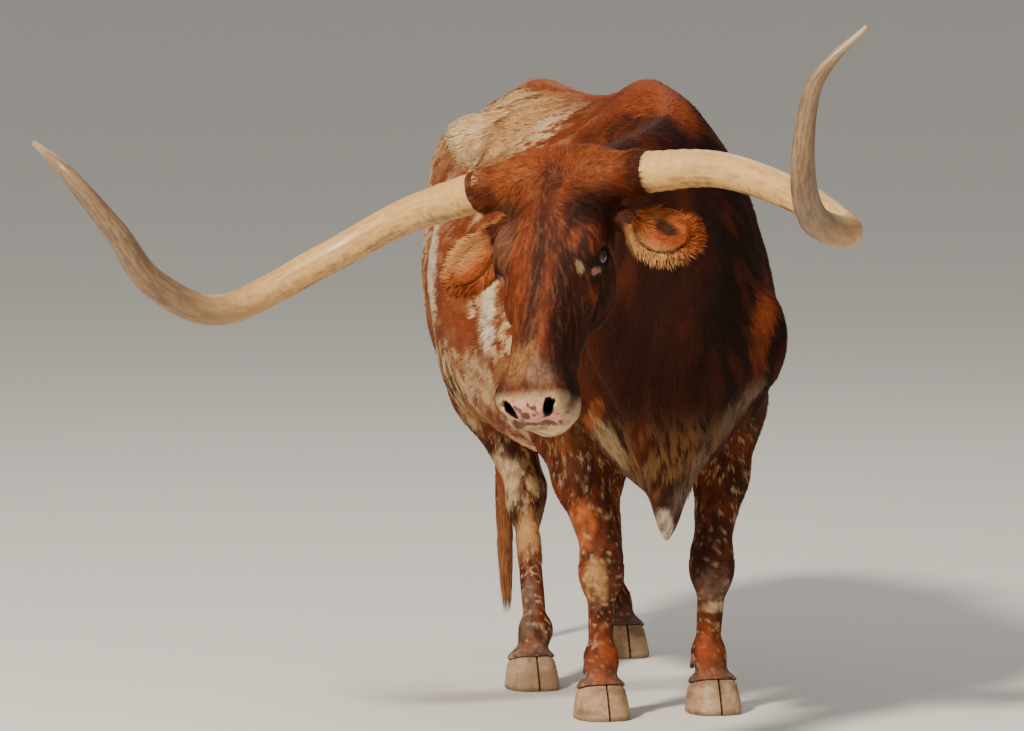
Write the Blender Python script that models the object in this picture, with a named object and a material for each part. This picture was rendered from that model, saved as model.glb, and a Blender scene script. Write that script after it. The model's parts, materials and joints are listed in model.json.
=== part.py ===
"""A life-size Texas longhorn steer that stands on four hooves and turns its head to its right.

Metres, +Z up. The steer faces -Y and its left side is +X.
The flesh is one smooth body, described by blended rounded masses, and is parted with thin flat cuts.
"""

import math
import random

import bmesh
import bpy
import numpy as np
from mathutils import Matrix, Vector

# Driving sizes of the animal, in metres.
GAP = 0.0003
ORIGIN_X = -0.60
ORIGIN_Y = -0.553

# Where the middle of each hoof stands: x, y.
HOOF_SPOTS = {
    "fore_right": (-0.129, -0.432),
    "fore_left": (0.156, -0.392),
    "hind_right": (-0.135, 0.170),
    "hind_left": (0.262, 0.765),
}
SIDES = {"left": 1.0, "right": -1.0}

# Head pose: the turn to its right, the lean of the face from upright, and the tilt, in degrees.
HEAD_TURN = 40.0
HEAD_LEAN = 34.0
HEAD_TILT = 7.5
POLL = np.array([-0.444, -1.152, 1.364])


def head_axes():
    """Unit vectors of the head: to its left, out of its face, and down its face."""
    turn, lean, tilt = (math.radians(a) for a in (HEAD_TURN, HEAD_LEAN, HEAD_TILT))
    ahead = np.array([-math.sin(turn), -math.cos(turn), 0.0])
    level = np.array([math.cos(turn), -math.sin(turn), 0.0])
    up = np.array([0.0, 0.0, 1.0])
    out = ahead * math.cos(lean) + up * math.sin(lean)
    down = ahead * math.sin(lean) - up * math.cos(lean)
    left = level * math.cos(tilt) - down * math.sin(tilt)
    down = down * math.cos(tilt) + level * math.sin(tilt)
    return np.array([left, out, down])


HEAD = (POLL, head_axes())
WORLD = (np.zeros(3), np.eye(3))


def head_point(left, out, down):
    """World point from a place in the head's own frame."""
    return POLL + np.array([left, out, down]) @ HEAD[1]


# The signed distance shapes. Each is a box of influence and a function of local points.


class Shape:
    """A rounded mass in a frame, with the box, in that frame, outside which it is far away."""

    def __init__(self, frame, low, high, distance):
        self.frame = frame
        self.low = np.array(low, float)
        self.high = np.array(high, float)
        self.distance = distance

    def local(self, points):
        origin, axes = self.frame
        return (points - origin) @ axes.T


def turned(frame, origin, degrees=(0.0, 0.0, 0.0)):
    """A frame placed in another one and turned about its own x, y and z axes."""
    base_origin, base_axes = frame
    turn = Matrix.Rotation(math.radians(degrees[2]), 3, "Z")
    turn = turn @ Matrix.Rotation(math.radians(degrees[1]), 3, "Y")
    turn = turn @ Matrix.Rotation(math.radians(degrees[0]), 3, "X")
    axes = np.array(turn.transposed()) @ base_axes
    return (base_origin + np.array(origin, float) @ base_axes, axes)


def ellipsoid(frame, centre, radii, degrees=(0.0, 0.0, 0.0)):
    """An ellipsoid with its own centre, three radii and turn."""
    radii = np.array(radii, float)

    def distance(q):
        k0 = np.sqrt(((q / radii) ** 2).sum(1)) + 1e-9
        k1 = np.sqrt(((q / radii**2) ** 2).sum(1)) + 1e-9
        return k0 * (k0 - 1.0) / k1

    return Shape(turned(frame, centre, degrees), -radii, radii, distance)


def cone(frame, start, end, start_radius, end_radius):
    """A round-ended limb between two points, with a radius at each end."""
    start, end = np.array(start, float), np.array(end, float)
    along = end - start
    length_squared = float(along @ along)
    reach = max(start_radius, end_radius)

    def distance(q):
        share = np.clip(((q - start) @ along) / length_squared, 0.0, 1.0)
        nearest = start + share[:, None] * along
        radius = start_radius + (end_radius - start_radius) * share
        return np.sqrt(((q - nearest) ** 2).sum(1)) - radius

    low = np.minimum(start, end) - reach
    high = np.maximum(start, end) + reach
    return Shape(frame, low, high, distance)


def eased(knots, values, places):
    """Values between knots along a smooth curve through them, flat past both ends."""
    knots, values = np.array(knots, float), np.array(values, float)
    slopes = np.gradient(values, knots)
    places = np.clip(places, knots[0], knots[-1])
    index = np.clip(np.searchsorted(knots, places) - 1, 0, len(knots) - 2)
    width = knots[index + 1] - knots[index]
    t = (places - knots[index]) / width
    first = values[index] * (1 + 2 * t) * (1 - t) ** 2
    first += slopes[index] * width * t * (1 - t) ** 2
    second = values[index + 1] * t**2 * (3 - 2 * t)
    second += slopes[index + 1] * width * t**2 * (t - 1)
    return first + second


LOFT_SAMPLES = 160


def loft(frame, order, stations, round_end=0.02):
    """A mass with parallel sections along one axis.

    order names the local axes as (across, height, along). A station is
    (along, middle across, half width, low, widest level, high, power below, power above).
    """
    across, height, along = ("xyz".index(letter) for letter in order)
    table = np.array(stations, float)
    places = np.linspace(table[0, 0], table[-1, 0], LOFT_SAMPLES)
    columns = [eased(table[:, 0], table[:, c], places) for c in range(1, 8)]

    def distance(q):
        t = q[:, along]
        middle, half, low, level, high, power_low, power_high = (
            np.interp(t, places, column) for column in columns
        )
        side = q[:, across] - middle
        rise = q[:, height] - level
        above = rise > 0
        reach = np.where(above, high - level, level - low)
        power = np.where(above, power_high, power_low)
        share = (np.abs(side / half) ** power + np.abs(rise / reach) ** power) ** (1 / power)
        radius = np.sqrt(side**2 + rise**2) + 1e-6
        skin = radius - radius / np.maximum(share, 1e-4)
        ends = np.maximum(places[0] - t, t - places[-1])
        return smooth_max(skin, ends, round_end)

    low, high = np.empty(3), np.empty(3)
    low[across] = (table[:, 1] - table[:, 2]).min()
    high[across] = (table[:, 1] + table[:, 2]).max()
    low[height], high[height] = table[:, 3].min(), table[:, 5].max()
    low[along], high[along] = places[0], places[-1]
    return Shape(frame, low, high, distance)


def smooth_min(a, b, blend):
    if blend <= 0:
        return np.minimum(a, b)
    near = np.maximum(blend - np.abs(a - b), 0.0) / blend
    return np.minimum(a, b) - near**2 * blend * 0.25


def smooth_max(a, b, blend):
    return -smooth_min(-a, -b, blend)


CULL_MARGIN = 0.05
BLOCK = 4
CLEAR_ROUNDS = 12
NEAR_BLOCKS = 1.7


def evaluate(masses, points):
    """The flesh's signed distance at points: each mass is joined or cut in turn, with its blend."""
    field = np.full(len(points), 1.0)
    for shape, action, blend in masses:
        local = shape.local(points)
        margin = blend + CULL_MARGIN
        inside = ((local > shape.low - margin) & (local < shape.high + margin)).all(1)
        if not inside.any():
            continue
        value = shape.distance(local[inside])
        old = field[inside]
        if action == "join":
            field[inside] = smooth_min(old, value, blend)
        else:
            field[inside] = smooth_max(old, -value, blend)
    return field


def clear_corners(field):
    """Fills the outside points that meet only across a corner, so that the skin never pinches."""
    for _ in range(CLEAR_ROUNDS):
        changed = 0
        for u, v in ((0, 1), (1, 2), (0, 2)):
            parts = []
            for shift_u, shift_v in ((0, 0), (1, 1), (1, 0), (0, 1)):
                window = [slice(None)] * 3
                window[u] = slice(shift_u, field.shape[u] - 1 + shift_u)
                window[v] = slice(shift_v, field.shape[v] - 1 + shift_v)
                parts.append(field[tuple(window)])
            a, d, b, c = parts
            inside_a, inside_b = a < 0, b < 0
            pinched = (inside_a == (d < 0)) & (inside_b == (c < 0)) & (inside_a != inside_b)
            first = pinched & ~inside_a
            second = pinched & inside_a
            a[first] = -1e-5
            b[second] = -1e-5
            changed += int(pinched.sum())
        if not changed:
            break


def grid_field(masses, frame, low, high, step):
    """The field on a grid in a frame. Only the blocks near the skin are worked out in full."""
    origin, turn = frame
    low = np.array(low, float)
    counts = np.ceil((np.array(high, float) - low) / (step * BLOCK)).astype(int) + 1
    axes = [low[i] + np.arange(counts[i]) * step * BLOCK for i in range(3)]
    corners = np.stack(np.meshgrid(*axes, indexing="ij"), -1).reshape(-1, 3)
    coarse = evaluate(masses, origin + corners @ turn).reshape(counts)
    near = np.abs(coarse) < step * BLOCK * NEAR_BLOCKS
    active = np.zeros(counts - 1, bool)
    for shift in np.ndindex(2, 2, 2):
        active |= near[tuple(slice(s, s + n - 1) for s, n in zip(shift, counts))]
    fine, mask = coarse[:-1, :-1, :-1], active
    for axis in range(3):
        fine = np.repeat(fine, BLOCK, axis)
        mask = np.repeat(mask, BLOCK, axis)
    fine[mask] = evaluate(masses, origin + (low + np.argwhere(mask) * step) @ turn)
    for axis in range(3):
        for end in (0, -1):
            edge = [slice(None)] * 3
            edge[axis] = end
            fine[tuple(edge)] = np.maximum(fine[tuple(edge)], step)
    clear_corners(fine)
    return fine, low


def skin_mesh(masses, frame, low, high, step):
    """Points and quads of the field's zero surface, with one point in each cell that it crosses."""
    field, low = grid_field(masses, frame, low, high, step)
    inside = field < 0
    sizes = tuple(n - 1 for n in field.shape)
    total = np.zeros(sizes + (3,), np.float32)
    crossings = np.zeros(sizes, np.int16)
    for corner in np.ndindex(2, 2, 2):
        for axis in range(3):
            if corner[axis]:
                continue
            other = list(corner)
            other[axis] = 1
            a = field[tuple(slice(c, c + n) for c, n in zip(corner, sizes))]
            b = field[tuple(slice(c, c + n) for c, n in zip(other, sizes))]
            crossed = (a < 0) != (b < 0)
            share = np.where(crossed, a / np.where(crossed, a - b, 1.0), 0.0)
            for i in range(3):
                place = corner[i] + (share if i == axis else 0.0)
                total[..., i] += np.where(crossed, place, 0.0)
            crossings += crossed
    used = crossings > 0
    number = np.full(sizes, -1, np.int64)
    number[used] = np.arange(used.sum())
    points = low + (np.argwhere(used) + total[used] / crossings[used][:, None]) * step
    quads = []
    for axis in range(3):
        shift_u, shift_v = np.roll(np.eye(3, dtype=int), -axis - 1, 0)[:2]
        keep = tuple(slice(0 if i == axis else 1, n - 1) for i, n in enumerate(field.shape))
        crossed = np.zeros_like(inside)
        crossed[keep] = (inside != np.roll(inside, -1, axis))[keep]
        place = np.argwhere(crossed)
        ring = [place - shift_u - shift_v, place - shift_v, place, place - shift_u]
        quad = np.stack([number[tuple(r.T)] for r in ring], 1)
        flip = ~inside[tuple(place.T)]
        quad[flip] = quad[flip][:, ::-1]
        quads.append(quad)
    return frame[0] + points @ frame[1], np.vstack(quads)


def settle(masses, points):
    """Moves points onto the skin, along the field's slope."""
    reach = 0.001
    here = evaluate(masses, points)
    ahead = [evaluate(masses, points + reach * axis) - here for axis in np.eye(3)]
    slope = np.stack(ahead, 1) / reach
    move = here / np.maximum((slope**2).sum(1), 0.25)
    return points - np.clip(move, -0.003, 0.003)[:, None] * slope


# The masses of the steer: the torso, the neck, the legs and the head.


def both_sides(build):
    """The masses of a pair, from a function of the side's sign."""
    return [mass for side in SIDES.values() for mass in build(side)]


def trunk_masses():
    """Barrel, shoulders and hips. A station runs across the body at one distance from the chest."""
    barrel = [
        (-0.80, -0.02, 0.060, 0.800, 0.93, 1.060, 2.0, 2.0),
        (-0.74, -0.02, 0.150, 0.680, 0.94, 1.220, 2.0, 2.0),
        (-0.62, -0.01, 0.215, 0.590, 0.95, 1.400, 2.0, 1.8),
        (-0.42, 0.0, 0.250, 0.560, 0.95, 1.484, 2.1, 1.55),
        (-0.20, 0.0, 0.300, 0.570, 0.95, 1.464, 2.2, 1.65),
        (0.00, 0.0, 0.330, 0.560, 0.95, 1.446, 2.2, 1.75),
        (0.20, 0.0, 0.345, 0.556, 0.96, 1.440, 2.2, 1.80),
        (0.40, 0.0, 0.332, 0.590, 0.98, 1.448, 2.2, 1.80),
        (0.60, 0.0, 0.268, 0.680, 1.03, 1.464, 2.1, 1.60),
        (0.78, 0.0, 0.215, 0.800, 1.08, 1.418, 2.0, 1.75),
        (0.92, 0.0, 0.150, 0.930, 1.12, 1.362, 2.0, 1.9),
        (0.98, 0.0, 0.070, 1.030, 1.15, 1.290, 2.0, 2.0),
    ]

    def side_masses(s):
        blade_turn, arm_turn = (-12, -s * 10, 0), (-20, 0, 0)
        return [
            (ellipsoid(WORLD, (s * 0.150, -0.40, 1.09), (0.092, 0.150, 0.30), blade_turn), "join", 0.08),
            (ellipsoid(WORLD, (s * 0.183, -0.47, 0.90), (0.080, 0.145, 0.20), arm_turn), "join", 0.08),
            (ellipsoid(WORLD, (s * 0.165, -0.66, 0.90), (0.085, 0.085, 0.12)), "join", 0.08),
            (ellipsoid(WORLD, (s * 0.195, 0.52, 1.325), (0.050, 0.080, 0.045)), "join", 0.10),
            (ellipsoid(WORLD, (s * 0.120, 0.92, 1.270), (0.050, 0.065, 0.060)), "join", 0.08),
            (ellipsoid(WORLD, (s * 0.135, 0.75, 1.10), (0.105, 0.225, 0.25), (18, 0, 0)), "join", 0.08),
            (ellipsoid(WORLD, (s * 0.290, 0.37, 1.235), (0.050, 0.100, 0.060)), "cut", 0.10),
        ]

    masses = [(loft(WORLD, "xzy", barrel, 0.05), "join", 0.0)]
    masses += both_sides(side_masses)
    tail_root = cone(WORLD, (0.0, 0.86, 1.345), (0.0, 1.02, 1.312), 0.052, 0.034)
    return masses + [(tail_root, "join", 0.06)]


def neck_masses():
    """The neck bends to the right, from the shoulders to the back of the skull."""
    nape = [
        (-1.17, -0.395, 0.085, 1.130, 1.22, 1.320, 2.0, 2.0),
        (-1.08, -0.345, 0.120, 1.050, 1.18, 1.352, 2.0, 1.9),
        (-0.96, -0.250, 0.150, 0.970, 1.14, 1.378, 2.0, 1.7),
        (-0.78, -0.115, 0.185, 0.860, 1.10, 1.408, 2.0, 1.6),
        (-0.60, -0.030, 0.205, 0.780, 1.08, 1.438, 2.0, 1.6),
        (-0.42, 0.000, 0.205, 0.750, 1.08, 1.460, 2.0, 1.6),
        (-0.30, 0.000, 0.150, 0.800, 1.08, 1.450, 2.0, 1.6),
    ]
    dewlap = [
        (-1.09, -0.350, 0.045, 0.960, 1.03, 1.12, 2.0, 2.0),
        (-1.00, -0.285, 0.052, 0.865, 0.99, 1.12, 2.0, 2.0),
        (-0.90, -0.205, 0.052, 0.755, 0.92, 1.10, 1.8, 2.0),
        (-0.80, -0.118, 0.060, 0.580, 0.84, 1.05, 1.5, 2.0),
        (-0.74, -0.072, 0.072, 0.458, 0.78, 1.00, 1.35, 2.0),
        (-0.68, -0.040, 0.085, 0.436, 0.72, 0.95, 1.35, 2.0),
        (-0.60, -0.020, 0.095, 0.485, 0.70, 0.92, 1.5, 2.0),
        (-0.46, -0.010, 0.100, 0.535, 0.72, 0.92, 1.8, 2.0),
        (-0.34, 0.000, 0.060, 0.560, 0.72, 0.90, 2.0, 2.0),
    ]
    return [
        (loft(WORLD, "xzy", nape, 0.05), "join", 0.09),
        (loft(WORLD, "xzy", dewlap, 0.04), "join", 0.05),
    ]


# Each leg's joints from the top down, as world points.
FORE_LEGS = {
    "right": {
        "elbow": (-0.215, -0.365, 0.760),
        "forearm": (-0.170, -0.405, 0.560),
        "knee": (-0.132, -0.440, 0.345),
        "fetlock": (-0.128, -0.425, 0.138),
    },
    "left": {
        "elbow": (0.215, -0.330, 0.760),
        "forearm": (0.182, -0.365, 0.560),
        "knee": (0.150, -0.400, 0.345),
        "fetlock": (0.146, -0.385, 0.138),
    },
}
HIND_LEGS = {
    "right": {
        "thigh": (-0.180, 0.580, 0.930),
        "stifle": (-0.200, 0.400, 0.800),
        "gaskin": (-0.150, 0.500, 0.690),
        "hock": (-0.098, 0.355, 0.430),
        "fetlock": (-0.120, 0.190, 0.138),
    },
    "left": {
        "thigh": (0.185, 0.690, 0.930),
        "stifle": (0.220, 0.540, 0.815),
        "gaskin": (0.205, 0.690, 0.700),
        "hock": (0.240, 0.820, 0.450),
        "fetlock": (0.248, 0.790, 0.138),
    },
}


def shifted(point, x=0.0, y=0.0, z=0.0):
    return np.array(point) + (x, y, z)


def pastern_masses(fetlock, spot):
    """Fetlock, dewclaws, pastern and the crown of the hoof."""
    crown = (spot[0], spot[1] + 0.005, 0.085)
    masses = [
        (ellipsoid(WORLD, fetlock, (0.042, 0.043, 0.042)), "join", 0.02),
        (cone(WORLD, fetlock, crown, 0.037, 0.040), "join", 0.02),
        (ellipsoid(WORLD, shifted(crown, z=-0.014), (0.061, 0.064, 0.034)), "join", 0.012),
    ]
    for side in SIDES.values():
        root = shifted(fetlock, side * 0.022, 0.028, -0.010)
        tip = shifted(fetlock, side * 0.026, 0.050, -0.034)
        masses.append((cone(WORLD, root, tip, 0.015, 0.009), "join", 0.006))
    return masses


def fore_leg_masses(joints, spot, s):
    """A fore leg from the elbow down, straight, with a broad flat knee."""
    elbow, forearm, knee, fetlock = (joints[n] for n in ("elbow", "forearm", "knee", "fetlock"))
    cannon_top, cannon_end = shifted(knee, z=-0.04), shifted(fetlock, z=0.02)
    elbow_turn = (12, s * 8, 0)
    sinew_top, sinew_end = shifted(cannon_top, y=0.020), shifted(cannon_end, y=0.020)
    masses = [
        (ellipsoid(WORLD, shifted(elbow, z=-0.02), (0.078, 0.110, 0.130), elbow_turn), "join", 0.06),
        (cone(WORLD, shifted(elbow, z=-0.03), forearm, 0.082, 0.060), "join", 0.05),
        (ellipsoid(WORLD, shifted(elbow, y=0.075, z=0.005), (0.040, 0.045, 0.060)), "join", 0.05),
        (cone(WORLD, forearm, shifted(knee, z=0.05), 0.062, 0.046), "join", 0.04),
        (ellipsoid(WORLD, knee, (0.058, 0.050, 0.070)), "join", 0.035),
        (ellipsoid(WORLD, shifted(knee, y=0.040, z=0.012), (0.026, 0.028, 0.034)), "join", 0.03),
        (cone(WORLD, cannon_top, cannon_end, 0.034, 0.030), "join", 0.025),
        (cone(WORLD, sinew_top, sinew_end, 0.024, 0.024), "join", 0.02),
    ]
    return masses + pastern_masses(fetlock, spot)


def hind_leg_masses(joints, spot, s):
    """A hind leg: thigh, stifle, gaskin with its tendon, hock and cannon."""
    thigh, stifle, gaskin, hock, fetlock = (
        joints[n] for n in ("thigh", "stifle", "gaskin", "hock", "fetlock")
    )
    point = shifted(hock, y=0.062, z=0.062)
    cannon_top, cannon_end = shifted(hock, z=-0.04), shifted(fetlock, z=0.02)
    sinew_top, sinew_end = shifted(cannon_top, y=0.030), shifted(cannon_end, y=0.018)
    masses = [
        (ellipsoid(WORLD, thigh, (0.104, 0.200, 0.230), (26, 0, 0)), "join", 0.09),
        (ellipsoid(WORLD, stifle, (0.072, 0.115, 0.135), (10, 0, 0)), "join", 0.08),
        (cone(WORLD, shifted(stifle, z=-0.02), gaskin, 0.068, 0.078), "join", 0.07),
        (cone(WORLD, gaskin, shifted(hock, z=0.05), 0.080, 0.046), "join", 0.06),
        (cone(WORLD, shifted(gaskin, y=0.075, z=0.03), point, 0.045, 0.020), "join", 0.04),
        (ellipsoid(WORLD, shifted(hock, y=0.012, z=0.012), (0.050, 0.060, 0.068)), "join", 0.03),
        (ellipsoid(WORLD, point, (0.024, 0.026, 0.034)), "join", 0.03),
        (cone(WORLD, cannon_top, cannon_end, 0.031, 0.028), "join", 0.025),
        (cone(WORLD, sinew_top, sinew_end, 0.022, 0.022), "join", 0.02),
    ]
    return masses + pastern_masses(fetlock, spot)


def leg_masses():
    masses = []
    for name, s in SIDES.items():
        masses += fore_leg_masses(FORE_LEGS[name], HOOF_SPOTS["fore_" + name], s)
        masses += hind_leg_masses(HIND_LEGS[name], HOOF_SPOTS["hind_" + name], s)
    return masses


# Places on the head, in its own frame: to the left, out of the face, down the face.
EYE = (0.109, -0.062, 0.245)
EYE_RADIUS = 0.023
HORN_BASE = (0.0, -0.060, 0.035)
HORN_ROOT_OUT = {1.0: 0.209, -1.0: 0.189}
HORN_BASE_RADIUS = 0.049
EAR_ROOT = (0.150, -0.125, 0.112)
EAR_LENGTH = 0.186
EAR_AIMS = {1.0: (0.86, -0.03, 0.51), -1.0: (0.74, -0.26, 0.62)}
NOSTRIL = (0.042, -0.058, 0.612)


def horn_root(s):
    """The middle of a horn's base on the head."""
    return (s * HORN_ROOT_OUT[s], HORN_BASE[1], HORN_BASE[2])


def on_side(place, s):
    """The same place on the head's left for s = 1, or on its right for s = -1."""
    return (s * place[0], place[1], place[2])


# The horns: control points as (to the side, ahead, up) from the middle of the horn bases.
HORN_PATHS = {
    "left": [
        (0.200, 0.010, 0.000),
        (0.405, 0.030, -0.010),
        (0.615, 0.090, -0.083),
        (0.762, 0.175, -0.165),
        (0.772, 0.355, -0.132),
        (0.842, 0.540, -0.020),
        (0.905, 0.575, 0.155),
        (1.020, 0.540, 0.262),
    ],
    "right": [
        (0.186, 0.010, -0.006),
        (0.404, 0.000, -0.052),
        (0.582, 0.062, -0.131),
        (0.762, 0.231, -0.220),
        (0.840, 0.390, -0.147),
        (0.866, 0.495, -0.022),
        (0.925, 0.585, 0.119),
        (1.033, 0.530, 0.191),
    ],
}
HORN_RADII = [HORN_BASE_RADIUS, 0.0415, 0.0385, 0.0375, 0.0340, 0.0275, 0.0185, 0.0065]
HORN_TURN = 42.0
HORN_TILT = 6.0
HORN_RINGS = 26
HORN_SIDES = 12


def spline(points, count):
    """Points spread evenly along a Catmull-Rom curve through the given ones."""
    points = np.array(points, float)
    padded = np.vstack([2 * points[0] - points[1], points, 2 * points[-1] - points[-2]])
    dense = []
    for i in range(1, len(padded) - 2):
        p0, p1, p2, p3 = padded[i - 1 : i + 3]
        for t in np.linspace(0, 1, 40, endpoint=False):
            bend = (2 * p0 - 5 * p1 + 4 * p2 - p3) * t**2 + (3 * p1 - p0 - 3 * p2 + p3) * t**3
            dense.append(0.5 * (2 * p1 + (p2 - p0) * t + bend))
    dense = np.vstack([dense, points[-1]])
    run = np.r_[0, np.cumsum(np.linalg.norm(np.diff(dense, axis=0), axis=1))]
    places = np.linspace(0, run[-1], count)
    return np.stack([np.interp(places, run, dense[:, i]) for i in range(points.shape[1])], 1)


def horn_line(name, count):
    """World points and radii along a horn, from its base to its tip."""
    s = SIDES[name]
    turn, tilt = math.radians(HORN_TURN), math.radians(HORN_TILT)
    ahead = np.array([-math.sin(turn), -math.cos(turn), 0.0])
    level = np.array([math.cos(turn), -math.sin(turn), 0.0])
    up = np.array([0.0, 0.0, 1.0])
    across = level * math.cos(tilt) + up * math.sin(tilt)
    rise = up * math.cos(tilt) - level * math.sin(tilt)
    path = [list(p) + [r] for p, r in zip(HORN_PATHS[name], HORN_RADII)]
    line = spline(path, count)
    base = head_point(0.0, HORN_BASE[1], HORN_BASE[2])
    points = base + np.outer(line[:, 0] * s, across) + np.outer(line[:, 1], ahead)
    return points + np.outer(line[:, 2], rise), line[:, 3]


def horn_stub(s):
    """A point just inside the horn's first ring, in the head's frame."""
    points, _ = horn_line("left" if s > 0 else "right", HORN_RINGS)
    return tuple(HEAD[1] @ (points[0] + 0.25 * (points[1] - points[0]) - POLL))


BOSS, BOSS_RADIUS = (0.09, -0.062, 0.034), 0.060
EAR_BUD, EAR_BUD_END = (0.100, -0.122, 0.105), (0.200, -0.126, 0.140)


def head_masses():
    """Skull, brows, cheeks, muzzle, nostrils, lips and the roots of the horns and ears."""
    skull = [
        (-0.045, 0.0, 0.070, -0.130, -0.075, -0.025, 2.0, 2.0),
        (-0.020, 0.0, 0.115, -0.170, -0.080, -0.004, 2.0, 2.2),
        (0.060, 0.0, 0.132, -0.215, -0.085, 0.006, 2.0, 2.4),
        (0.140, 0.0, 0.122, -0.245, -0.095, 0.006, 2.0, 2.4),
        (0.235, 0.0, 0.116, -0.262, -0.090, 0.002, 1.9, 2.4),
        (0.330, 0.0, 0.092, -0.242, -0.095, -0.003, 1.9, 2.3),
        (0.420, 0.0, 0.074, -0.220, -0.095, -0.006, 1.9, 2.2),
        (0.500, 0.0, 0.072, -0.206, -0.092, -0.009, 2.0, 2.2),
        (0.560, 0.0, 0.079, -0.200, -0.092, -0.012, 2.2, 2.4),
        (0.605, 0.0, 0.081, -0.190, -0.095, -0.026, 2.3, 2.4),
        (0.634, 0.0, 0.056, -0.160, -0.095, -0.046, 2.2, 2.2),
    ]

    def side_masses(s):
        return [
            (ellipsoid(HEAD, on_side((0.060, -0.185, 0.235), s), (0.036, 0.082, 0.105)), "join", 0.04),
            (ellipsoid(HEAD, on_side((0.097, -0.040, 0.220), s), (0.032, 0.036, 0.056)), "join", 0.03),
            (ellipsoid(HEAD, on_side((0.084, -0.085, 0.320), s), (0.022, 0.026, 0.060)), "join", 0.03),
            (cone(HEAD, on_side(BOSS, s), horn_stub(s), BOSS_RADIUS, HORN_BASE_RADIUS + 0.002), "join", 0.045),
            (cone(HEAD, on_side(EAR_BUD, s), on_side(EAR_BUD_END, s), 0.032, 0.026), "join", 0.02),
            (ellipsoid(HEAD, on_side(EYE, s), (0.028, 0.030, 0.036)), "join", 0.016),
            (ellipsoid(HEAD, on_side((0.056, -0.054, 0.592), s), (0.026, 0.034, 0.036)), "join", 0.018),
            (ellipsoid(HEAD, on_side((0.054, -0.120, 0.575), s), (0.032, 0.036, 0.060)), "join", 0.02),
        ]

    def lids(s):
        """The upper lid is a heavy roll over the eye, and the lower lid a thinner one."""
        upper = [(0.116, -0.058, 0.213), (0.129, -0.046, 0.226), (0.133, -0.043, 0.243), (0.127, -0.050, 0.262)]
        lower = [(0.118, -0.064, 0.214), (0.127, -0.079, 0.230), (0.128, -0.081, 0.248), (0.121, -0.068, 0.272)]
        rolls = [(a, b, 0.0062) for a, b in zip(upper, upper[1:])]
        rolls += [(a, b, 0.0045) for a, b in zip(lower, lower[1:])]
        return [(cone(HEAD, on_side(a, s), on_side(b, s), r, r), "join", 0.006) for a, b, r in rolls]

    def side_cuts(s):
        opening = shifted(on_side(EYE, s), s * 0.030)
        nostril = turned(HEAD, on_side(NOSTRIL, s), (0, 0, -s * 24))
        wing = turned(HEAD, on_side((0.052, -0.042, 0.614), s), (0, s * 30, 0))
        return [
            (ellipsoid(HEAD, opening, (0.022, 0.0130, 0.0215)), "cut", 0.004),
            (ellipsoid(nostril, (0, 0, 0), (0.0120, 0.0270, 0.0240)), "cut", 0.005),
            (ellipsoid(wing, (0, 0, 0), (0.0090, 0.0090, 0.0200)), "cut", 0.005),
        ]

    nose = ellipsoid(HEAD, (0.0, -0.074, 0.592), (0.070, 0.054, 0.048))
    chin = ellipsoid(HEAD, (0.0, -0.178, 0.572), (0.050, 0.032, 0.054))
    masses = [(loft(HEAD, "xyz", skull, 0.03), "join", 0.05)]
    masses += both_sides(side_masses)
    masses += [(nose, "join", 0.02), (chin, "join", 0.02)]
    masses += both_sides(lids)
    mouth = mouth_line(masses)
    for a, b in zip(mouth, mouth[1:]):
        masses.append((cone(HEAD, a, b, MOUTH_RADIUS, MOUTH_RADIUS), "cut", MOUTH_BLEND))
    return masses + both_sides(side_cuts)


MOUTH_RADIUS = 0.0064
MOUTH_SPREAD = 118
MOUTH_POINTS = 15
MOUTH_BLEND = 0.003


def mouth_line(masses):
    """Points on the muzzle's skin from one lip corner round to the other, in the head's frame."""
    middle = 0.560
    line = []
    for angle in np.linspace(-MOUTH_SPREAD, MOUTH_SPREAD, MOUTH_POINTS):
        side, ahead = math.sin(math.radians(angle)), math.cos(math.radians(angle))
        drop = -0.132 - 0.010 * abs(side)
        rays = np.linspace(0.03, 0.13, 400)
        places = np.stack([rays * side, np.full_like(rays, drop), middle + rays * ahead], 1)
        inside = evaluate(masses, POLL + places @ HEAD[1]) < 0
        line.append(places[inside][-1])
    return line


FLESH = trunk_masses() + leg_masses() + neck_masses() + head_masses()


# Solids: meshes from the field, thinned, and cut with flat planes.


def mesh_object(name, points, faces):
    """A new object from points and faces."""
    mesh = bpy.data.meshes.new(name)
    mesh.from_pydata([tuple(p) for p in points], [], [tuple(int(i) for i in f) for f in faces])
    mesh.update()
    node = bpy.data.objects.new(name, mesh)
    bpy.context.scene.collection.objects.link(node)
    return node


def apply_modifiers(node):
    """Makes the modified shape the object's own mesh."""
    depsgraph = bpy.context.evaluated_depsgraph_get()
    shape = bpy.data.meshes.new_from_object(node.evaluated_get(depsgraph))
    old = node.data
    node.modifiers.clear()
    node.data = shape
    bpy.data.meshes.remove(old)
    shape.name = node.name


def set_points(node, points):
    node.data.vertices.foreach_set("co", np.asarray(points, np.float32).ravel())
    node.data.update()


def get_points(node):
    flat = np.empty(len(node.data.vertices) * 3, np.float32)
    node.data.vertices.foreach_get("co", flat)
    return flat.reshape(-1, 3).astype(float)


def flesh_object(name, masses, frame, low, high, step, triangles):
    """A closed piece of flesh inside a box of a frame, thinned to about so many triangles."""
    points, quads = skin_mesh(masses, frame, low, high, step)
    node = mesh_object(name, points, quads)
    local = (points - frame[0]) @ frame[1].T
    within = ((local > np.array(low) + 2 * step) & (local < np.array(high) - 3 * step)).all(1)
    points[within] = settle(masses, points[within])
    set_points(node, points)
    thin = node.modifiers.new("Thin", "DECIMATE")
    thin.ratio = min(1.0, triangles / (2.0 * len(quads)))
    apply_modifiers(node)
    return node


def edit(node, change):
    """Runs a change on the object's mesh as a bmesh."""
    shape = bmesh.new()
    shape.from_mesh(node.data)
    change(shape)
    bmesh.ops.triangulate(shape, faces=shape.faces[:])
    shape.to_mesh(node.data)
    shape.free()
    node.data.update()


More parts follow.
